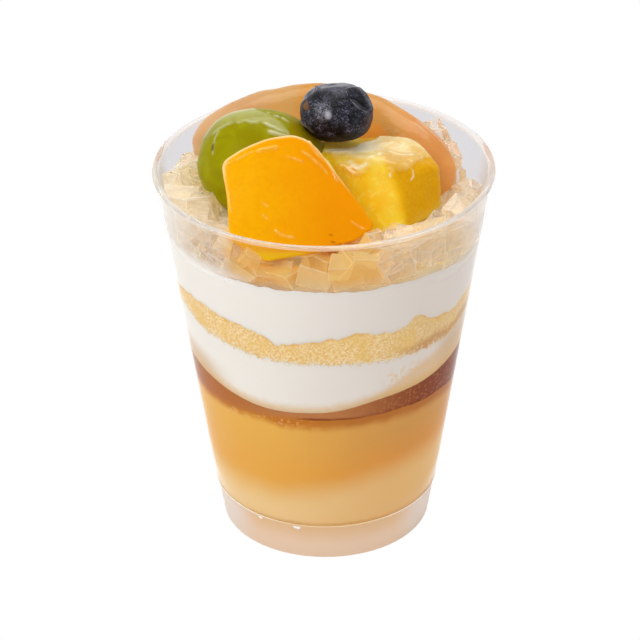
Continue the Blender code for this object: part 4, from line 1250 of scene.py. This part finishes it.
def makePeach():
    sides, steps, (start, end) = peach["sides"], peach["steps"], peach["arc"]
    (right, left), half = peach["halfWidth"], peach["thick"] / 2

    def section(share):
        turn = math.radians(start + (end - start) * share)
        across, upFace = squared(turn, peach["arch"])
        outward = Vector((math.cos(turn), math.sin(turn), 0))
        halfWidth = right + (left - right) * share + peach["fuller"] * math.sin(math.pi * share)
        rounding = max(0.0, 1 - abs(2 * share - 1) ** peach["end"]) ** 0.5
        middle = Vector((peach["halfSpan"] * across, peach["reach"] * upFace, -half)) - outward * halfWidth
        ring = []
        for i in range(sides):
            out, up = squared(math.tau * i / sides, peach["square"])
            up *= 1 - (1 - peach["pitSide"]) * (0.5 - 0.5 * out) ** 2  # thinner towards the pit
            ring.append(middle + outward * out * halfWidth * rounding + Vector((0, 0, up * half * rounding)))
        return middle, ring

    pose = Matrix.Identity(4)
    for angle, axis in (("yaw", "Z"), ("roll", "Y"), ("lean", "X")):
        pose = pose @ Matrix.Rotation(math.radians(peach[angle]), 4, axis)
    pose.translation = peach["centre"]
    shares = [0.5 - 0.5 * math.cos(math.pi * n / steps) for n in range(1, steps)]
    rings = [[pose @ p for p in section(share)[1]] for share in shares]
    dress(shell("peachSlice", rings, [pose @ section(share)[0] for share in (0.0, 1.0)], peachLook()), peach)


# The view, the light and the table

view = {
    "rise": 30.42,  # degrees above level
    "distance": 718.2 * mm,
    "target": (0.0, 0.0, 44.635 * mm),
    "aside": -1.13 * mm,
    "up": 3.80 * mm,
    "roll": -0.497,
    "lens": 177.0,
}


def makeView():
    rise = math.radians(view["rise"])
    target = Vector(view["target"])
    place = target + Vector((0, -math.cos(rise), math.sin(rise))) * view["distance"]
    aim = target + Vector((0, math.sin(rise), math.cos(rise))) * view["up"] + Vector((view["aside"], 0, 0))
    data = bpy.data.cameras.new("view")
    data.lens, data.sensor_width = view["lens"], 36.0
    data.clip_start, data.clip_end = 0.01, 20.0
    camera = bpy.data.objects.new("view", data)
    camera.location = place
    camera.rotation_mode = "QUATERNION"
    camera.rotation_quaternion = ((aim - place).to_track_quat("-Z", "Y")
                                  @ Matrix.Rotation(math.radians(view["roll"]), 3, "Z").to_quaternion())
    scene.collection.objects.link(camera)
    scene.camera = camera


lamps = [
    # name, place, size, watts
    ("keyLamp", (-0.55, -0.55, 0.95), 0.5, 3.6),
    ("topLamp", (0.1, 0.6, 1.0), 0.7, 3.4),
]
sky = {
    "way": (-0.15, 0.62, 0.77),  # where it is brightest
    "range": (-0.45, 0.75),
    "strength": (0.62, 0.76),
}


def makeLight():
    for name, place, size, watts in lamps:
        data = bpy.data.lights.new(name, "AREA")
        data.shape, data.size, data.energy = "DISK", size, watts
        lamp = bpy.data.objects.new(name, data)
        lamp.location = place
        lamp.rotation_mode = "QUATERNION"
        lamp.rotation_quaternion = (Vector((0, 0, 0.06)) - Vector(place)).to_track_quat("-Z", "Y")
        scene.collection.objects.link(lamp)
    scene.world = bpy.data.worlds.new("studio")
    scene.world.use_nodes = True
    tree = Tree(scene.world.node_tree)
    way = tree.add("ShaderNodeTexCoord").outputs["Generated"]
    tilt = tree.add("ShaderNodeVectorMath", {0: way, 1: sky["way"]}, operation="DOT_PRODUCT").outputs["Value"]
    (low, high), (least, most) = sky["range"], sky["strength"]
    strength = tree.add("ShaderNodeMapRange", {"Value": tilt, "From Min": low, "From Max": high, "To Min": least,
                                               "To Max": most}, interpolation_type="SMOOTHSTEP")
    background = tree.tree.nodes["Background"]
    tree.put(background.inputs["Strength"], strength.outputs[0])
    tree.put(background.inputs["Color"], (1.0, 1.0, 1.0, 1.0))
    scene.view_settings.view_transform = "Standard"
    # light gets through many clear walls, one behind the other
    scene.cycles.max_bounces, scene.cycles.transparent_max_bounces = 16, 48
    scene.cycles.glossy_bounces, scene.cycles.transmission_bounces = 10, 16


def makeFloor():
    look = Look("paleTable", {"Base Color": (0.9, 0.9, 0.9, 1.0), "Roughness": 0.6, "Specular IOR Level": 0.2,
                              "Emission Color": (1.0, 1.0, 1.0, 1.0), "Emission Strength": 0.2})
    path, shown = look.add("ShaderNodeLightPath"), look.shader
    for ray, strength in (("Is Transmission Ray", 0.88), ("Is Camera Ray", 1.0)):
        bright = look.add("ShaderNodeEmission", {"Color": (1.0, 1.0, 1.0, 1.0), "Strength": strength})
        shown = look.blend(path.outputs[ray], shown, bright)
    look.show(shown)
    mesh = bpy.data.meshes.new("table")
    wide = 4.0
    mesh.from_pydata([(-wide, -wide, 0), (wide, -wide, 0), (wide, wide, 0), (-wide, wide, 0)], [], [(0, 1, 2, 3)])
    mesh.materials.append(look.material)
    table = bpy.data.objects.new("table", mesh)
    table.location.z = -0.1 * mm
    scene.collection.objects.link(table)


makeView()
makeLight()
makeFloor()
print("stage ready")
makeCup()
makeLayer("custardLayer", "floor", "caramelLow", custardLook(), "custard", "custard")
makeLayer("caramelLayer", "caramelLow", "caramelHigh", caramelLook(), "caramel", "caramel")
makeLayer("creamLowerLayer", "caramelHigh", "spongeLow", creamLook("creamLower", True), "cream", "cream_lower")
makeLayer("spongeLayer", "spongeLow", "spongeHigh", spongeLook(), "sponge", "sponge")
makeLayer("creamUpperLayer", "spongeHigh", "creamHigh", creamLook("creamUpper", False), "cream", "cream_upper")
print("cup and layers made")
makeCore()
makeJelly(["grape", "mango", "pineapple", "peach"])
makeGrape()
makeBerry()
makeMango()
makePineapple()
makePeach()
print("fruit made")
